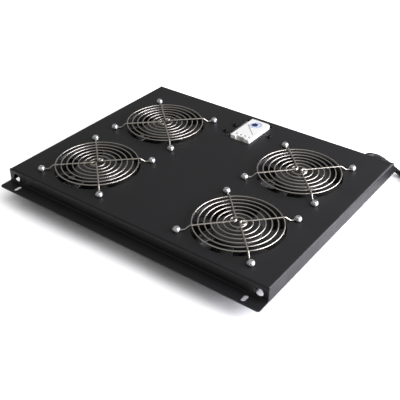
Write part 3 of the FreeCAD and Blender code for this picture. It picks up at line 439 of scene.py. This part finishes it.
# %% Tree of a finger guard
def guard_tree():
    """Rings under rounded arm wires, with an eyelet at each of four screws."""
    tree, given = geometry_tree("finger_guard", {
        "Outer Radius": "Float", "Ring Step": "Float", "Ring Count": "Int", "Ring Wire": "Float",
        "Ring Height": "Float", "Arm Wire": "Float", "Arm Bend": "Float", "Screw Square": "Float",
        "Eyelet Radius": "Float", "Eyelet Height": "Float", "Turn": "Float", "Centre": "Vector"})
    ring_section = add(tree, "GeometryNodeCurvePrimitiveCircle", {
        "Resolution": 12, "Radius": given["Ring Wire"]}).outputs["Curve"]
    arm_section = add(tree, "GeometryNodeCurvePrimitiveCircle", {
        "Resolution": 12, "Radius": given["Arm Wire"]}).outputs["Curve"]
    unit_ring = add(tree, "GeometryNodeCurvePrimitiveCircle", {"Resolution": 200, "Radius": 1.0})

    level = add(tree, "ShaderNodeCombineXYZ", {"Z": given["Ring Height"]}).outputs[0]
    seats = add(tree, "GeometryNodePoints", {"Count": given["Ring Count"], "Position": level})
    index = add(tree, "GeometryNodeInputIndex").outputs["Index"]
    shrink = add(tree, "ShaderNodeMath", {0: index, 1: given["Ring Step"]}, operation="MULTIPLY")
    radius = add(tree, "ShaderNodeMath", {0: given["Outer Radius"], 1: shrink.outputs[0]},
                 operation="SUBTRACT").outputs[0]
    placed = add(tree, "GeometryNodeInstanceOnPoints", {
        "Points": seats.outputs["Points"], "Instance": unit_ring.outputs["Curve"], "Scale": radius})
    circles = add(tree, "GeometryNodeRealizeInstances", {"Geometry": placed.outputs["Instances"]})
    even = add(tree, "GeometryNodeSetCurveRadius", {
        "Curve": circles.outputs["Geometry"], "Radius": 1.0})
    rings = add(tree, "GeometryNodeCurveToMesh", {"Curve": even.outputs["Curve"],
                                                  "Profile Curve": ring_section})

    lines = add(tree, "GeometryNodeMeshToCurve", {"Mesh": given["Geometry"]})
    bent = add(tree, "GeometryNodeFilletCurve", {
        "Curve": lines.outputs["Curve"], "Radius": given["Arm Bend"], "Count": 7,
        "Limit Radius": True}, mode="POLY")
    arms = add(tree, "GeometryNodeCurveToMesh", {"Curve": bent.outputs["Curve"],
                                                 "Profile Curve": arm_section, "Fill Caps": True})

    square = add(tree, "GeometryNodeMeshGrid", {"Size X": given["Screw Square"], "Vertices X": 2,
                                                "Size Y": given["Screw Square"], "Vertices Y": 2})
    lift = add(tree, "ShaderNodeCombineXYZ", {"Z": given["Eyelet Height"]}).outputs[0]
    corners = add(tree, "GeometryNodeSetPosition", {
        "Geometry": square.outputs["Mesh"], "Offset": lift})
    loop = add(tree, "GeometryNodeCurvePrimitiveCircle", {"Resolution": 28,
                                                          "Radius": given["Eyelet Radius"]})
    eyelet = add(tree, "GeometryNodeCurveToMesh", {"Curve": loop.outputs["Curve"],
                                                   "Profile Curve": arm_section})
    eyelets = add(tree, "GeometryNodeInstanceOnPoints", {"Points": corners.outputs["Geometry"],
                                                         "Instance": eyelet.outputs["Mesh"]})

    whole = add(tree, "GeometryNodeJoinGeometry")
    for part in (rings.outputs["Mesh"], arms.outputs["Mesh"], eyelets.outputs["Instances"]):
        tree.links.new(part, whole.inputs["Geometry"])
    spin = add(tree, "ShaderNodeCombineXYZ", {"Z": given["Turn"]}).outputs[0]
    seated = add(tree, "GeometryNodeTransform", {"Geometry": whole.outputs["Geometry"],
                                                 "Translation": given["Centre"], "Rotation": spin})
    finish_tree(tree, seated.outputs["Geometry"], nickel_wire)
    return tree


finger_guard = guard_tree()
print("tree", finger_guard.name, "with", len(finger_guard.nodes), "nodes")

# %% [markdown]
# The sizes below are in millimetres and those of the solids. Each long wire is a line of corners:
# up from the eyelet, over the rings, round the loop and down to the next eyelet. The loop starts
# low, climbs by nearly one thickness of the wire and so lies on its own beginning. The guards of
# the two left-hand fans sit a quarter turn round from the others.

# %% Sizes and lines of the guards
deck = deck_top / MM
screw_square = 104.8
ring_wire = 1.7
arm_wire = 2.0
eyelet_radius = 3.25
eyelet_height = deck + arm_wire / 2
ring_height = 44.3
arm_height = 45.8
outer_ring = 55.8
ring_step = 7.6
ring_count = 7
bend_reach = outer_ring + 2.2
foot_reach = bend_reach + 6.5
arm_bend = 3.0
loop_radius = 3.4
loop_offset = 1.7
loop_start = arm_height - 0.8
loop_climb = 1.8
loop_steps = 30
straight_end = 0.16
fan_centres = {}
for joint in frame["joints"]:
    place = joint["name"].replace("fan_spin_", "")
    if place in positions:
        fan_centres[place] = joint["pos_m"]


def arm_line(first, second):
    """Corners of one arm wire: eyelet, over the rings, round its loop and back to an eyelet."""
    a = Vector((math.cos(math.radians(first)), math.sin(math.radians(first)), 0))
    b = Vector((math.cos(math.radians(second)), math.sin(math.radians(second)), 0))
    up = Vector((0, 0, 1))
    low, high = up * eyelet_height, up * arm_height
    corner = (a + b).normalized() * loop_offset
    middle = corner + (a + b) * loop_radius
    reach = screw_square / math.sqrt(2) - eyelet_radius
    loop = []
    for i in range(loop_steps + 1):
        angle = 2.5 * math.pi * i / loop_steps
        climbed = min(max((angle - math.pi / 2) / (1.5 * math.pi), 0), 1)
        loop.append(middle - (b * math.cos(angle) + a * math.sin(angle)) * loop_radius
                    + up * (loop_start + loop_climb * climbed))
    return ([low + a * reach, low + a * foot_reach, high + a * bend_reach,
             high + corner.lerp(a * bend_reach, straight_end)] + loop +
            [high + corner.lerp(b * bend_reach, straight_end), high + b * bend_reach,
             low + b * foot_reach, low + b * reach])


arm_lines = [arm_line(135, 225), arm_line(-45, 45)]
print("fans:", list(fan_centres), "corners of an arm wire:", len(arm_lines[0]))

# %% Four finger guards
guard_sizes = {"Outer Radius": outer_ring * MM, "Ring Step": ring_step * MM,
               "Ring Count": ring_count, "Ring Wire": ring_wire / 2 * MM,
               "Ring Height": ring_height * MM, "Arm Wire": arm_wire / 2 * MM,
               "Arm Bend": arm_bend * MM, "Screw Square": screw_square * MM,
               "Eyelet Radius": eyelet_radius * MM, "Eyelet Height": eyelet_height * MM}
guard_corners = arm_lines[0] + arm_lines[1]
guard_edges = [(i, i + 1) for i in range(len(guard_corners) - 1) if i + 1 != len(arm_lines[0])]
for place, centre in fan_centres.items():
    turn = math.pi / 2 if centre[0] < 0 else 0.0
    guard = grown("wire_guard_" + place, carrier("guard_lines", guard_corners, guard_edges),
                  finger_guard, {**guard_sizes, "Turn": turn, "Centre": (centre[0], centre[1], 0.0)})
    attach(guard, "tray")
    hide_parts("fan_guard_" + place)
    print(guard.name, len(guard.data.polygons), "faces")

# %% [markdown]
# ## Screws
# Sixteen M4 pan-head screws with a cross recess hold the guards and the fans, each on a washer, and
# three black ones hold the thermostat's bracket and the earth wire. Their threads barely show, so
# grooves without a pitch angle will do. One screw is lathed from its half outline and the recess is
# cut with two crossed wedges.

# %% One screw
plain_shank = 6.0
thread_pitch = 0.7
thread_depth = 0.3
recess_arm = 1.0
recess_depth = 1.7


def lathed(name, profile, segments):
    """Closed mesh turned about Z from (radius, height) points in millimetres, axis to axis."""
    made = bmesh.new()
    rings = []
    for radius, height in profile:
        if radius == 0:
            rings.append([made.verts.new((0, 0, height * MM))])
        else:
            rings.append([made.verts.new((radius * MM * math.cos(2 * math.pi * i / segments),
                                          radius * MM * math.sin(2 * math.pi * i / segments),
                                          height * MM)) for i in range(segments)])
    for low, high in zip(rings, rings[1:]):
        for i in range(segments):
            j = i + 1
            face = [low[i % len(low)], low[j % len(low)], high[j % len(high)], high[i % len(high)]]
            made.faces.new(list(dict.fromkeys(face)))
    bmesh.ops.recalc_face_normals(made, faces=made.faces)
    mesh = bpy.data.meshes.new(name)
    made.to_mesh(mesh)
    made.free()
    return mesh


def pan_head_profile(head, height, shank, length):
    """Half outline of a pan-head screw standing on z = 0, its thread as fine grooves."""
    dome = [(0, height), (head * 0.25, height), (head * 0.36, height * 0.92),
            (head * 0.44, height * 0.74), (head * 0.49, height * 0.45),
            (head * 0.5, height * 0.2), (head * 0.49, 0), (shank * 0.5, 0)]
    turns = int((length - plain_shank) / thread_pitch)
    thread = []
    for i in range(turns):
        z = -plain_shank - i * thread_pitch
        thread += [(shank * 0.5, z), (shank * 0.5 - thread_depth, z - thread_pitch / 2)]
    return dome + thread + [(shank * 0.4, -length), (0, -length)]


def cross_recess(name, width, arm, depth, top):
    """Two crossed wedges that narrow towards the bottom of the recess."""
    made = bmesh.new()
    for turn in (0, math.pi / 2):
        wedge = bmesh.ops.create_cube(made, size=1.0)["verts"]
        for vert in wedge:
            taper = 1.0 if vert.co.z > 0 else 0.35
            vert.co = Vector((vert.co.x * width * taper, vert.co.y * arm * taper,
                              vert.co.z * depth * 2)) * MM
        bmesh.ops.rotate(made, verts=wedge, matrix=Matrix.Rotation(turn, 3, "Z"))
        bmesh.ops.translate(made, verts=wedge, vec=(0, 0, top * MM))
    mesh = bpy.data.meshes.new(name)
    made.to_mesh(mesh)
    made.free()
    return mesh


def recessed_screw(name, head, height, shank, length):
    """Screw with its cross recess cut, as an object to be copied."""
    screw = linked(name, lathed(name, pan_head_profile(head, height, shank, length), 32))
    recess = linked(name + "_recess", cross_recess(
        name + "_recess", head * 0.56, recess_arm, recess_depth, height))
    cut = screw.modifiers.new("recess", "BOOLEAN")
    cut.operation = "DIFFERENCE"
    cut.object = recess
    cut.solver = "EXACT"
    cut.use_self = True
    bpy.context.view_layer.update()
    evaluated = screw.evaluated_get(bpy.context.evaluated_depsgraph_get())
    finished = bpy.data.meshes.new_from_object(evaluated)
    screw.modifiers.remove(cut)
    bpy.data.objects.remove(recess)
    screw.data = finished
    return screw


print("screw: pitch", thread_pitch, "mm, recess", recess_depth, "mm deep")

# %% [markdown]
# ## Setting the screws
# One tree puts a copy of a screw on every seat. Its random turn has a fixed seed, so that the
# recesses point the same way each time the script runs.

# %% Tree that sets screws, and the screws themselves
def fastener_tree():
    """Copies one fastener onto every point, each turned any way about Z by a fixed seed."""
    tree, given = geometry_tree("fasteners", {"Fastener": "Object", "Seed": "Int",
                                               "Finish": "Material"})
    pattern = add(tree, "GeometryNodeObjectInfo", {
        "Object": given["Fastener"], "As Instance": True})
    whole_turn = add(tree, "ShaderNodeCombineXYZ", {"Z": 2 * math.pi}).outputs[0]
    turn = add(tree, "FunctionNodeRandomValue", {"Max": whole_turn, "Seed": given["Seed"]},
               data_type="FLOAT_VECTOR")
    copies = add(tree, "GeometryNodeInstanceOnPoints", {
        "Points": given["Geometry"], "Instance": pattern.outputs["Geometry"],
        "Rotation": turn.outputs["Value"]})
    finish_tree(tree, copies.outputs["Instances"], given["Finish"])
    return tree


def set_screws(name, node, seats, sizes, finish, seed):
    """Pieces that stand for one node of screws: copies of one screw on the given seats."""
    pattern = recessed_screw(name + "_pattern", *sizes)
    made = grown(name, carrier(name + "_seats", seats), fasteners,
                 {"Fastener": pattern, "Seed": seed, "Finish": finish})
    bpy.data.objects.remove(pattern)
    made.data.set_sharp_from_angle(angle=math.radians(38))
    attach(made, "tray")
    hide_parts(node)
    print(name, len(seats), "screws,", len(made.data.polygons), "faces")


fasteners = fastener_tree()
half_square = screw_square / 2
washer_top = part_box("guard_washers")[1].z / MM
guard_seats = [(c[0] / MM + sx * half_square, c[1] / MM + sy * half_square, washer_top)
               for c in fan_centres.values() for sx in (-1, 1) for sy in (-1, 1)]
bracket_seats = [(-29.6, 121.0, deck), (29.6, 121.0, deck)]
earth_seats = [(-32.0, 98.5, deck)]
# Width and height of the head, thickness of the shank, length under the head.
guard_screw = (8.2, 3.0, 4.0, 12.8)
bracket_screw = (7.6, 2.6, 4.0, 7.2)
earth_screw = (7.6, 2.6, 4.0, 8.0)
set_screws("guard_screw_set", "guard_screws", guard_seats, guard_screw,
           nickel_screw, 7)
set_screws("bracket_screw_set", "bracket_screws", bracket_seats, bracket_screw,
           black_oxide, 3)
set_screws("earth_screw_piece", "earth_screw", earth_seats, earth_screw,
           black_oxide, 5)

# %% [markdown]
# ## Thermostat dial
# The dial is turned with a screwdriver through its dark blue centre. Its pale ring carries a
# temperature scale from 0 to 60, with a tick every 2 degrees. The ticks repeat round a circle, so a
# tree makes them; the numbers are text turned to mesh and set round the same circle.

# %% Scale ticks
scale_start = math.radians(120)
scale_sweep = math.radians(300)
degrees_per_tick = 2
scale_end = 60


def tick_tree():
    """Short bars round a circle, each pointing at its centre."""
    tree, given = geometry_tree("dial_ticks", {
        "Count": "Int", "Radius": "Float", "Tick Length": "Float", "Tick Width": "Float",
        "Sweep": "Float", "Centre": "Vector"})
    sweep = add(tree, "GeometryNodeCurveArc", {
        "Resolution": given["Count"], "Radius": given["Radius"],
        "Start Angle": scale_start, "Sweep Angle": given["Sweep"]}, mode="RADIUS")
    size = add(tree, "ShaderNodeCombineXYZ", {"X": given["Tick Width"], "Y": given["Tick Length"],
                                              "Z": 0.04 * MM}).outputs[0]
    bar = add(tree, "GeometryNodeMeshCube", {"Size": size})
    points = add(tree, "GeometryNodeCurveToPoints", {"Curve": sweep.outputs["Curve"],
                                                     "Count": given["Count"]}, mode="COUNT")
    along = add(tree, "FunctionNodeAlignRotationToVector", {
        "Vector": points.outputs["Tangent"]}, axis="X")
    copies = add(tree, "GeometryNodeInstanceOnPoints", {
        "Points": points.outputs["Points"], "Instance": bar.outputs["Mesh"],
        "Rotation": along.outputs["Rotation"]})
    seated = add(tree, "GeometryNodeTransform", {"Geometry": copies.outputs["Instances"],
                                                 "Translation": given["Centre"]})
    finish_tree(tree, seated.outputs["Geometry"], dark_blue, smooth=False)
    return tree


dial_low, dial_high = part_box("thermostat_dial")
dial_radius = (dial_high.x - dial_low.x) / 2
dial_middle = Vector(((dial_low.x + dial_high.x) / 2, (dial_low.y + dial_high.y) / 2, dial_high.z))
tick_ring = dial_radius * 0.9
number_ring = dial_radius * 0.68
ticks = grown("dial_ticks", carrier("dial_tick_start", [(0, 0, 0)]), tick_tree(), {
    "Count": scale_end // degrees_per_tick + 1, "Radius": tick_ring,
    "Tick Length": 0.9 * MM, "Tick Width": 0.22 * MM, "Sweep": scale_sweep,
    "Centre": dial_middle[:]})
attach(ticks, "dial")
print("ticks:", len(ticks.data.polygons) // 6)

# %% [markdown]
# ## Scale numbers
# Every tenth degree has its number. A number starts as text, becomes a thin mesh and is then put in
# its place in that mesh, because a piece's object has to stay at the origin.


# %% Scale numbers
number_height = 2.1
degrees_per_number = 10
last = scale_end // degrees_per_number


def number(text, centre, turn):
    """Flat printed number as a thin mesh, with its place in the mesh."""
    curve = bpy.data.curves.new("number_" + text, "FONT")
    curve.body = text
    curve.size = number_height * MM
    curve.align_x = "CENTER"
    curve.align_y = "CENTER"
    curve.extrude = 0.02 * MM
    written = linked("number_" + text, curve)
    bpy.context.view_layer.update()
    evaluated = written.evaluated_get(bpy.context.evaluated_depsgraph_get())
    mesh = bpy.data.meshes.new_from_object(evaluated)
    bpy.data.objects.remove(written)
    mesh.transform(Matrix.Translation(centre) @ Matrix.Rotation(turn, 4, "Z"))
    return mesh


numbers = bmesh.new()
for step in range(last + 1):
    angle = scale_start + scale_sweep * step / last
    outward = Vector((math.cos(angle), math.sin(angle), 0))
    spot = dial_middle + outward * number_ring
    numbers.from_mesh(number(str(degrees_per_number * (last - step)), spot, angle - math.pi / 2))
number_mesh = bpy.data.meshes.new("dial_numbers")
numbers.to_mesh(number_mesh)
numbers.free()
dial_numbers = linked("dial_numbers", number_mesh, dark_blue)
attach(dial_numbers, "dial")
print("numbers:", len(number_mesh.polygons), "faces")

# %% [markdown]
# ## Marks on the cover
# A grey line printed across the cover stands for the switch contact inside, as such thermostats
# show it, and a small moulded arrow beside the dial is what the scale is read against.

# %% Contact line and arrow
def flat_shape(name, outline, height, finish):
    """Thin prism that stands in the cover's face, from a plan outline in millimetres."""
    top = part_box("thermostat_cover")[1].z
    sunk = 0.05
    made = bmesh.new()
    base = [made.verts.new((x * MM, y * MM, top - sunk * MM)) for x, y in outline]
    face = made.faces.new(base)
    lifted = bmesh.ops.extrude_face_region(made, geom=[face])["geom"]
    bmesh.ops.translate(made, verts=[v for v in lifted if isinstance(v, bmesh.types.BMVert)],
                        vec=(0, 0, (height + sunk) * MM))
    bmesh.ops.recalc_face_normals(made, faces=made.faces)
    mesh = bpy.data.meshes.new(name)
    made.to_mesh(mesh)
    made.free()
    shape = linked(name, mesh, finish)
    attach(shape, "tray")
    print(name, "stands", height, "mm high")


def capsule(start, end, width, steps=8):
    """Outline of a bar with round ends."""
    start, end = Vector(start), Vector(end)
    heading = math.atan2(end.y - start.y, end.x - start.x)
    rim = []
    for centre, first in ((end, heading - math.pi / 2), (start, heading + math.pi / 2)):
        for i in range(steps + 1):
            angle = first + math.pi * i / steps
            rim.append((centre.x + width / 2 * math.cos(angle),
                        centre.y + width / 2 * math.sin(angle)))
    return rim


contact_line = capsule((-10.6, 126.6), (11.2, 104.8), 1.3)
arrow_head = [(-3.2, 119.2), (-0.8, 119.2), (-2.0, 121.6)]
flat_shape("contact_line", contact_line, 0.06, print_grey)
flat_shape("scale_arrow", arrow_head, 0.35, cream)

# %% [markdown]
# ## Mains cord
# A cord is one length of something flexible, so it is one smooth curve: out of its strain relief,
# over and down to the bench, seven turns wound on themselves, and up to the plug that lies on the
# coil. The turns come from a loop. Each turn has its own radius and layer, and the change from one
# to the next is spread over part of a turn, so that the turns lie side by side without touching.

# %% Route of the cord
cord_diameter = 6.4
cord_route = [
    (160.5, 171.5, 29.25), (160.5, 178.3, 28.2), (164.4, 185.8, 26.2), (172, 190.7, 23.5),
    (181.2, 193.7, 18), (191, 196, 11.6), (201.2, 196, 6.3), (211.5, 193.3, 3.8),
    (221, 188, 3.2)]
tail_route = [
    (228.5, 226, 17.2), (228.2, 216, 19.6), (229.5, 207, 23.2), (232, 199, 26.8),
    (237.5, 192.6, 29), (247, 192, 29.2)]
coil_centre = Vector((257, 214))
coil_start = math.radians(226)
points_per_turn = 16
turn_rows = [(42.4, 0), (36.0, 0), (29.6, 0), (32.8, 1), (39.2, 1), (39.2, 2), (32.8, 2)]
missing_from_last_turn = 77 / 360
climb_from, climb_for = 0.60, 0.20
shift_from, shift_for = 0.80, 0.18


def coil_points():
    """Turns of the coil, from the bench up: (radius, layer) in turn_rows, one row for each turn.

    A row that lies on the one below climbs to it first, and a neighbouring row shifts over late
    in the turn. The spline cuts inside its control points, so the radii are widened for that.
    """
    cut_inside = (6 + 2 * math.cos(2 * math.pi / points_per_turn)) / 8
    made = []
    last_point = int(points_per_turn * (len(turn_rows) - missing_from_last_turn))
    for i in range(last_point + 1):
        turn, share = divmod(i / points_per_turn, 1.0)
        turn = int(turn)
        radius, layer = turn_rows[turn]
        if turn + 1 < len(turn_rows):
            next_radius, next_layer = turn_rows[turn + 1]
            climb = min(max((share - climb_from) / climb_for, 0), 1) if next_layer > layer else 0
            shift = climb
            if next_layer == layer:
                shift = min(max((share - shift_from) / shift_for, 0), 1)
            radius += (next_radius - radius) * shift
            layer += (next_layer - layer) * climb
        angle = coil_start + 2 * math.pi * i / points_per_turn
        made.append((coil_centre.x + radius / cut_inside * math.cos(angle),
                     coil_centre.y + radius / cut_inside * math.sin(angle),
                     cord_diameter * (layer + 0.5)))
    return made


def smooth_cord(name, routes, diameter, finish):
    """Round cord along NURBS splines whose control points are the routes.

    The bevel is one metre deep and each point's radius scales it to the cord's, because the box
    that Blender gives a curve counts the points' radii.
    """
    curve = bpy.data.curves.new(name, "CURVE")
    curve.dimensions = "3D"
    for route in routes:
        spline = curve.splines.new("NURBS")
        spline.points.add(len(route) - 1)
        for point, place in zip(spline.points, route):
            point.co = (*(Vector(place) * MM), 1.0)
            point.radius = diameter / 2 * MM
        spline.order_u = 3
        spline.use_endpoint_u = True
    curve.resolution_u = 8
    curve.bevel_depth = 1.0
    curve.bevel_resolution = 5
    curve.use_fill_caps = True
    return linked(name, curve, finish)


def centreline(cord):
    """Points along the middle of a cord, in metres."""
    depth = cord.data.bevel_depth
    cord.data.bevel_depth = 0
    bpy.context.view_layer.update()
    evaluated = cord.evaluated_get(bpy.context.evaluated_depsgraph_get())
    line = bpy.data.meshes.new_from_object(evaluated)
    cord.data.bevel_depth = depth
    places = [v.co.copy() for v in line.vertices]
    bpy.data.meshes.remove(line)
    return places


whole_route = cord_route + coil_points() + tail_route
mains_cord = smooth_cord("mains_cord", [whole_route], cord_diameter, cord_pvc)
cord_line = centreline(mains_cord)
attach(mains_cord, "tray")
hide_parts("cord_outside", "cord_coil", "cord_tail")

# %% [markdown]
# ## Strain relief
# A moulded strain relief bends with the cord that it protects. It is one rubber piece: a barrel
# through the web, a head that stops on the web, and a ribbed boot that tapers over two centimetres
# of the cord. Its outline is a list of places along the cord and radii, and the rings of the mesh
# stand square to the cord at those places.

# %% Ribbed boot along the cord
barrel_length = 8.5
rib_count = 6
rib_pitch = 2.7
rib_start = 5.0


def relief_outline():
    """(place along the cord from the web, radius) in millimetres, from the inner end to the tip."""
    shape = [(-barrel_length, 3.2), (-barrel_length, 4.5), (0.2 - barrel_length, 4.7), (0, 4.7),
             (0, 6.0), (0.3, 6.3), (2.5, 6.3), (3, 5.8), (3.1, 4.8), (rib_start, 4.6)]
    for i in range(rib_count):
        place = rib_start + i * rib_pitch
        radius = 4.5 - 0.16 * i
        shape += [(place + 0.2, radius - 0.3), (place + 1.0, radius - 0.35),
                  (place + 1.2, radius - 0.1), (place + 1.4, radius - 0.05),
                  (place + 2.5, radius - 0.1), (place + rib_pitch, radius - 0.15)]
    return shape + [(22.2, 3.6), (22.6, 3.45), (22.6, 3.1)]


def along_line(line, distance):
    """Point and heading at a distance along a line of points."""
    for a, b in zip(line, line[1:]):
        run = (b - a).length
        if distance <= run:
            return a.lerp(b, distance / run), (b - a).normalized()
        distance -= run
    return line[-1], (line[-1] - line[-2]).normalized()


def swept(name, line, shape, segments, finish):
    """Closed mesh whose rings follow a line, with the given radii at the given places."""
    made = bmesh.new()
    rings = []
    for place, radius in shape:
        at, heading = along_line(line, place)
        across = heading.cross(Vector((0, 0, 1))).normalized()
        up = across.cross(heading)
        rings.append([made.verts.new(at + (across * math.cos(t) + up * math.sin(t)) * radius)
                      for t in (2 * math.pi * i / segments for i in range(segments))])
    for low, high in zip(rings, rings[1:] + rings[:1]):
        for i in range(segments):
            made.faces.new((low[i], low[(i + 1) % segments], high[(i + 1) % segments], high[i]))
    bmesh.ops.recalc_face_normals(made, faces=made.faces)
    mesh = bpy.data.meshes.new(name)
    made.to_mesh(mesh)
    made.free()
    mesh.shade_smooth()
    mesh.set_sharp_from_angle(angle=math.radians(40))
    return linked(name, mesh, finish)


web_face = Vector((160.5, 162.5, 29.25)) * MM
inner_end = web_face - Vector((0, barrel_length * MM, 0))
relief_line = [inner_end, web_face] + cord_line
relief_shape = [((place + barrel_length) * MM, radius * MM) for place, radius in relief_outline()]
relief = swept("strain_relief", relief_line, relief_shape, 40, moulded_black)
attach(relief, "tray")
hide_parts("cord_gland")
print("strain relief faces:", len(relief.data.polygons))

# %% [markdown]
# ## Wires under the deck
# The wires inside are fixed at both ends. Each is a smooth spline whose points are listed,
# through its saddle to the terminal block; the leads of the left-hand fans mirror those of the
# right-hand ones. All the wires of one node become one mesh.

# %% Routes of the wires
front_lead = [(65.8, -38.6, 9.5), (54.8, -27.6, 9.5), (43, -16, 23), (31, -6, 33.6), (16, 3, 33.6),
              (6, 14, 33.6), (4, 26, 28), (4, 32.5, 17.5), (4, 39, 8.7), (4, 48.5, 8.7)]
rear_lead = [(65.8, 10.4, 9.5), (56.8, 1.4, 9.5), (48, -2, 23), (38, 4, 33.6), (27, 14, 33.6),
             (17, 22, 32), (12.5, 28, 24), (12, 33.5, 15.5), (12, 39.5, 8.7), (12, 48.5, 8.7)]
cord_inside = [(160.5, 171.5, 29.25), (160.5, 149, 29.25), (154.9, 139.6, 30.2), (145.2, 134, 31.8),
               (124.5, 134, 33.6), (84.5, 134, 33.6), (64, 133.5, 33), (51, 126, 32), (45, 112, 30),
               (44, 97, 26), (39, 87, 19), (29, 80, 13.5)]
core_routes = [[(28, 80.9, 14.2), (25, 78.8, 12.5), (4, 72.5, 8.7), (4, 65.5, 8.7)],
               [(29.5, 80.4, 12.2), (25.4, 77.5, 9.9), (12, 72.5, 8.7), (12, 65.5, 8.7)],
               [(29.5, 78.8, 14.2), (24.3, 75.1, 11.3), (20, 72.5, 8.7), (20, 65.5, 8.7)]]
thermostat_routes = [[(x, 87.5, 20), (x, 80, 20), (x - 7, 74, 8.7), (x - 7, 65.5, 8.7)]
                     for x in (-5, 3)]
earth_route = [(-32, 83.5, 34.8), (-32, 76.5, 34.8), (-27.5, 73.5, 24), (-23.5, 72.5, 15.5),
               (-20, 71.5, 8.7), (-20, 65.5, 8.7)]
fan_lead_diameter, core_diameter, single_wire_diameter = 4.4, 2.2, 2.6
print("points by hand on the inner cord:", len(cord_inside))


# %% Fan leads, cores, earth wire and the cord inside
def wire(node, routes, diameter, finish):
    """Mesh of smooth wires that stands for one node."""
    curve = smooth_cord(node + "_line", routes, diameter, finish)
    bpy.context.view_layer.update()
    evaluated = curve.evaluated_get(bpy.context.evaluated_depsgraph_get())
    mesh = bpy.data.meshes.new_from_object(evaluated)
    bpy.data.objects.remove(curve)
    made = linked(node + "_wire", mesh)
    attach(made, "tray")
    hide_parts(node)
    print(made.name, len(routes), "of", diameter, "mm")


for row, route in (("front", front_lead), ("rear", rear_lead)):
    for mirror, side in ((-1, "left"), (1, "right")):
        mirrored = [(mirror * x, y, z) for x, y, z in route]
        wire("fan_lead_" + row + "_" + side, [mirrored], fan_lead_diameter,
             lead_black)
wire("cord_inside", [cord_inside], cord_diameter, cord_pvc)
wire("mains_cores", core_routes, core_diameter, lead_black)
wire("thermostat_leads", thermostat_routes, single_wire_diameter, lead_black)
wire("earth_wire", [earth_route], single_wire_diameter, lead_earth)
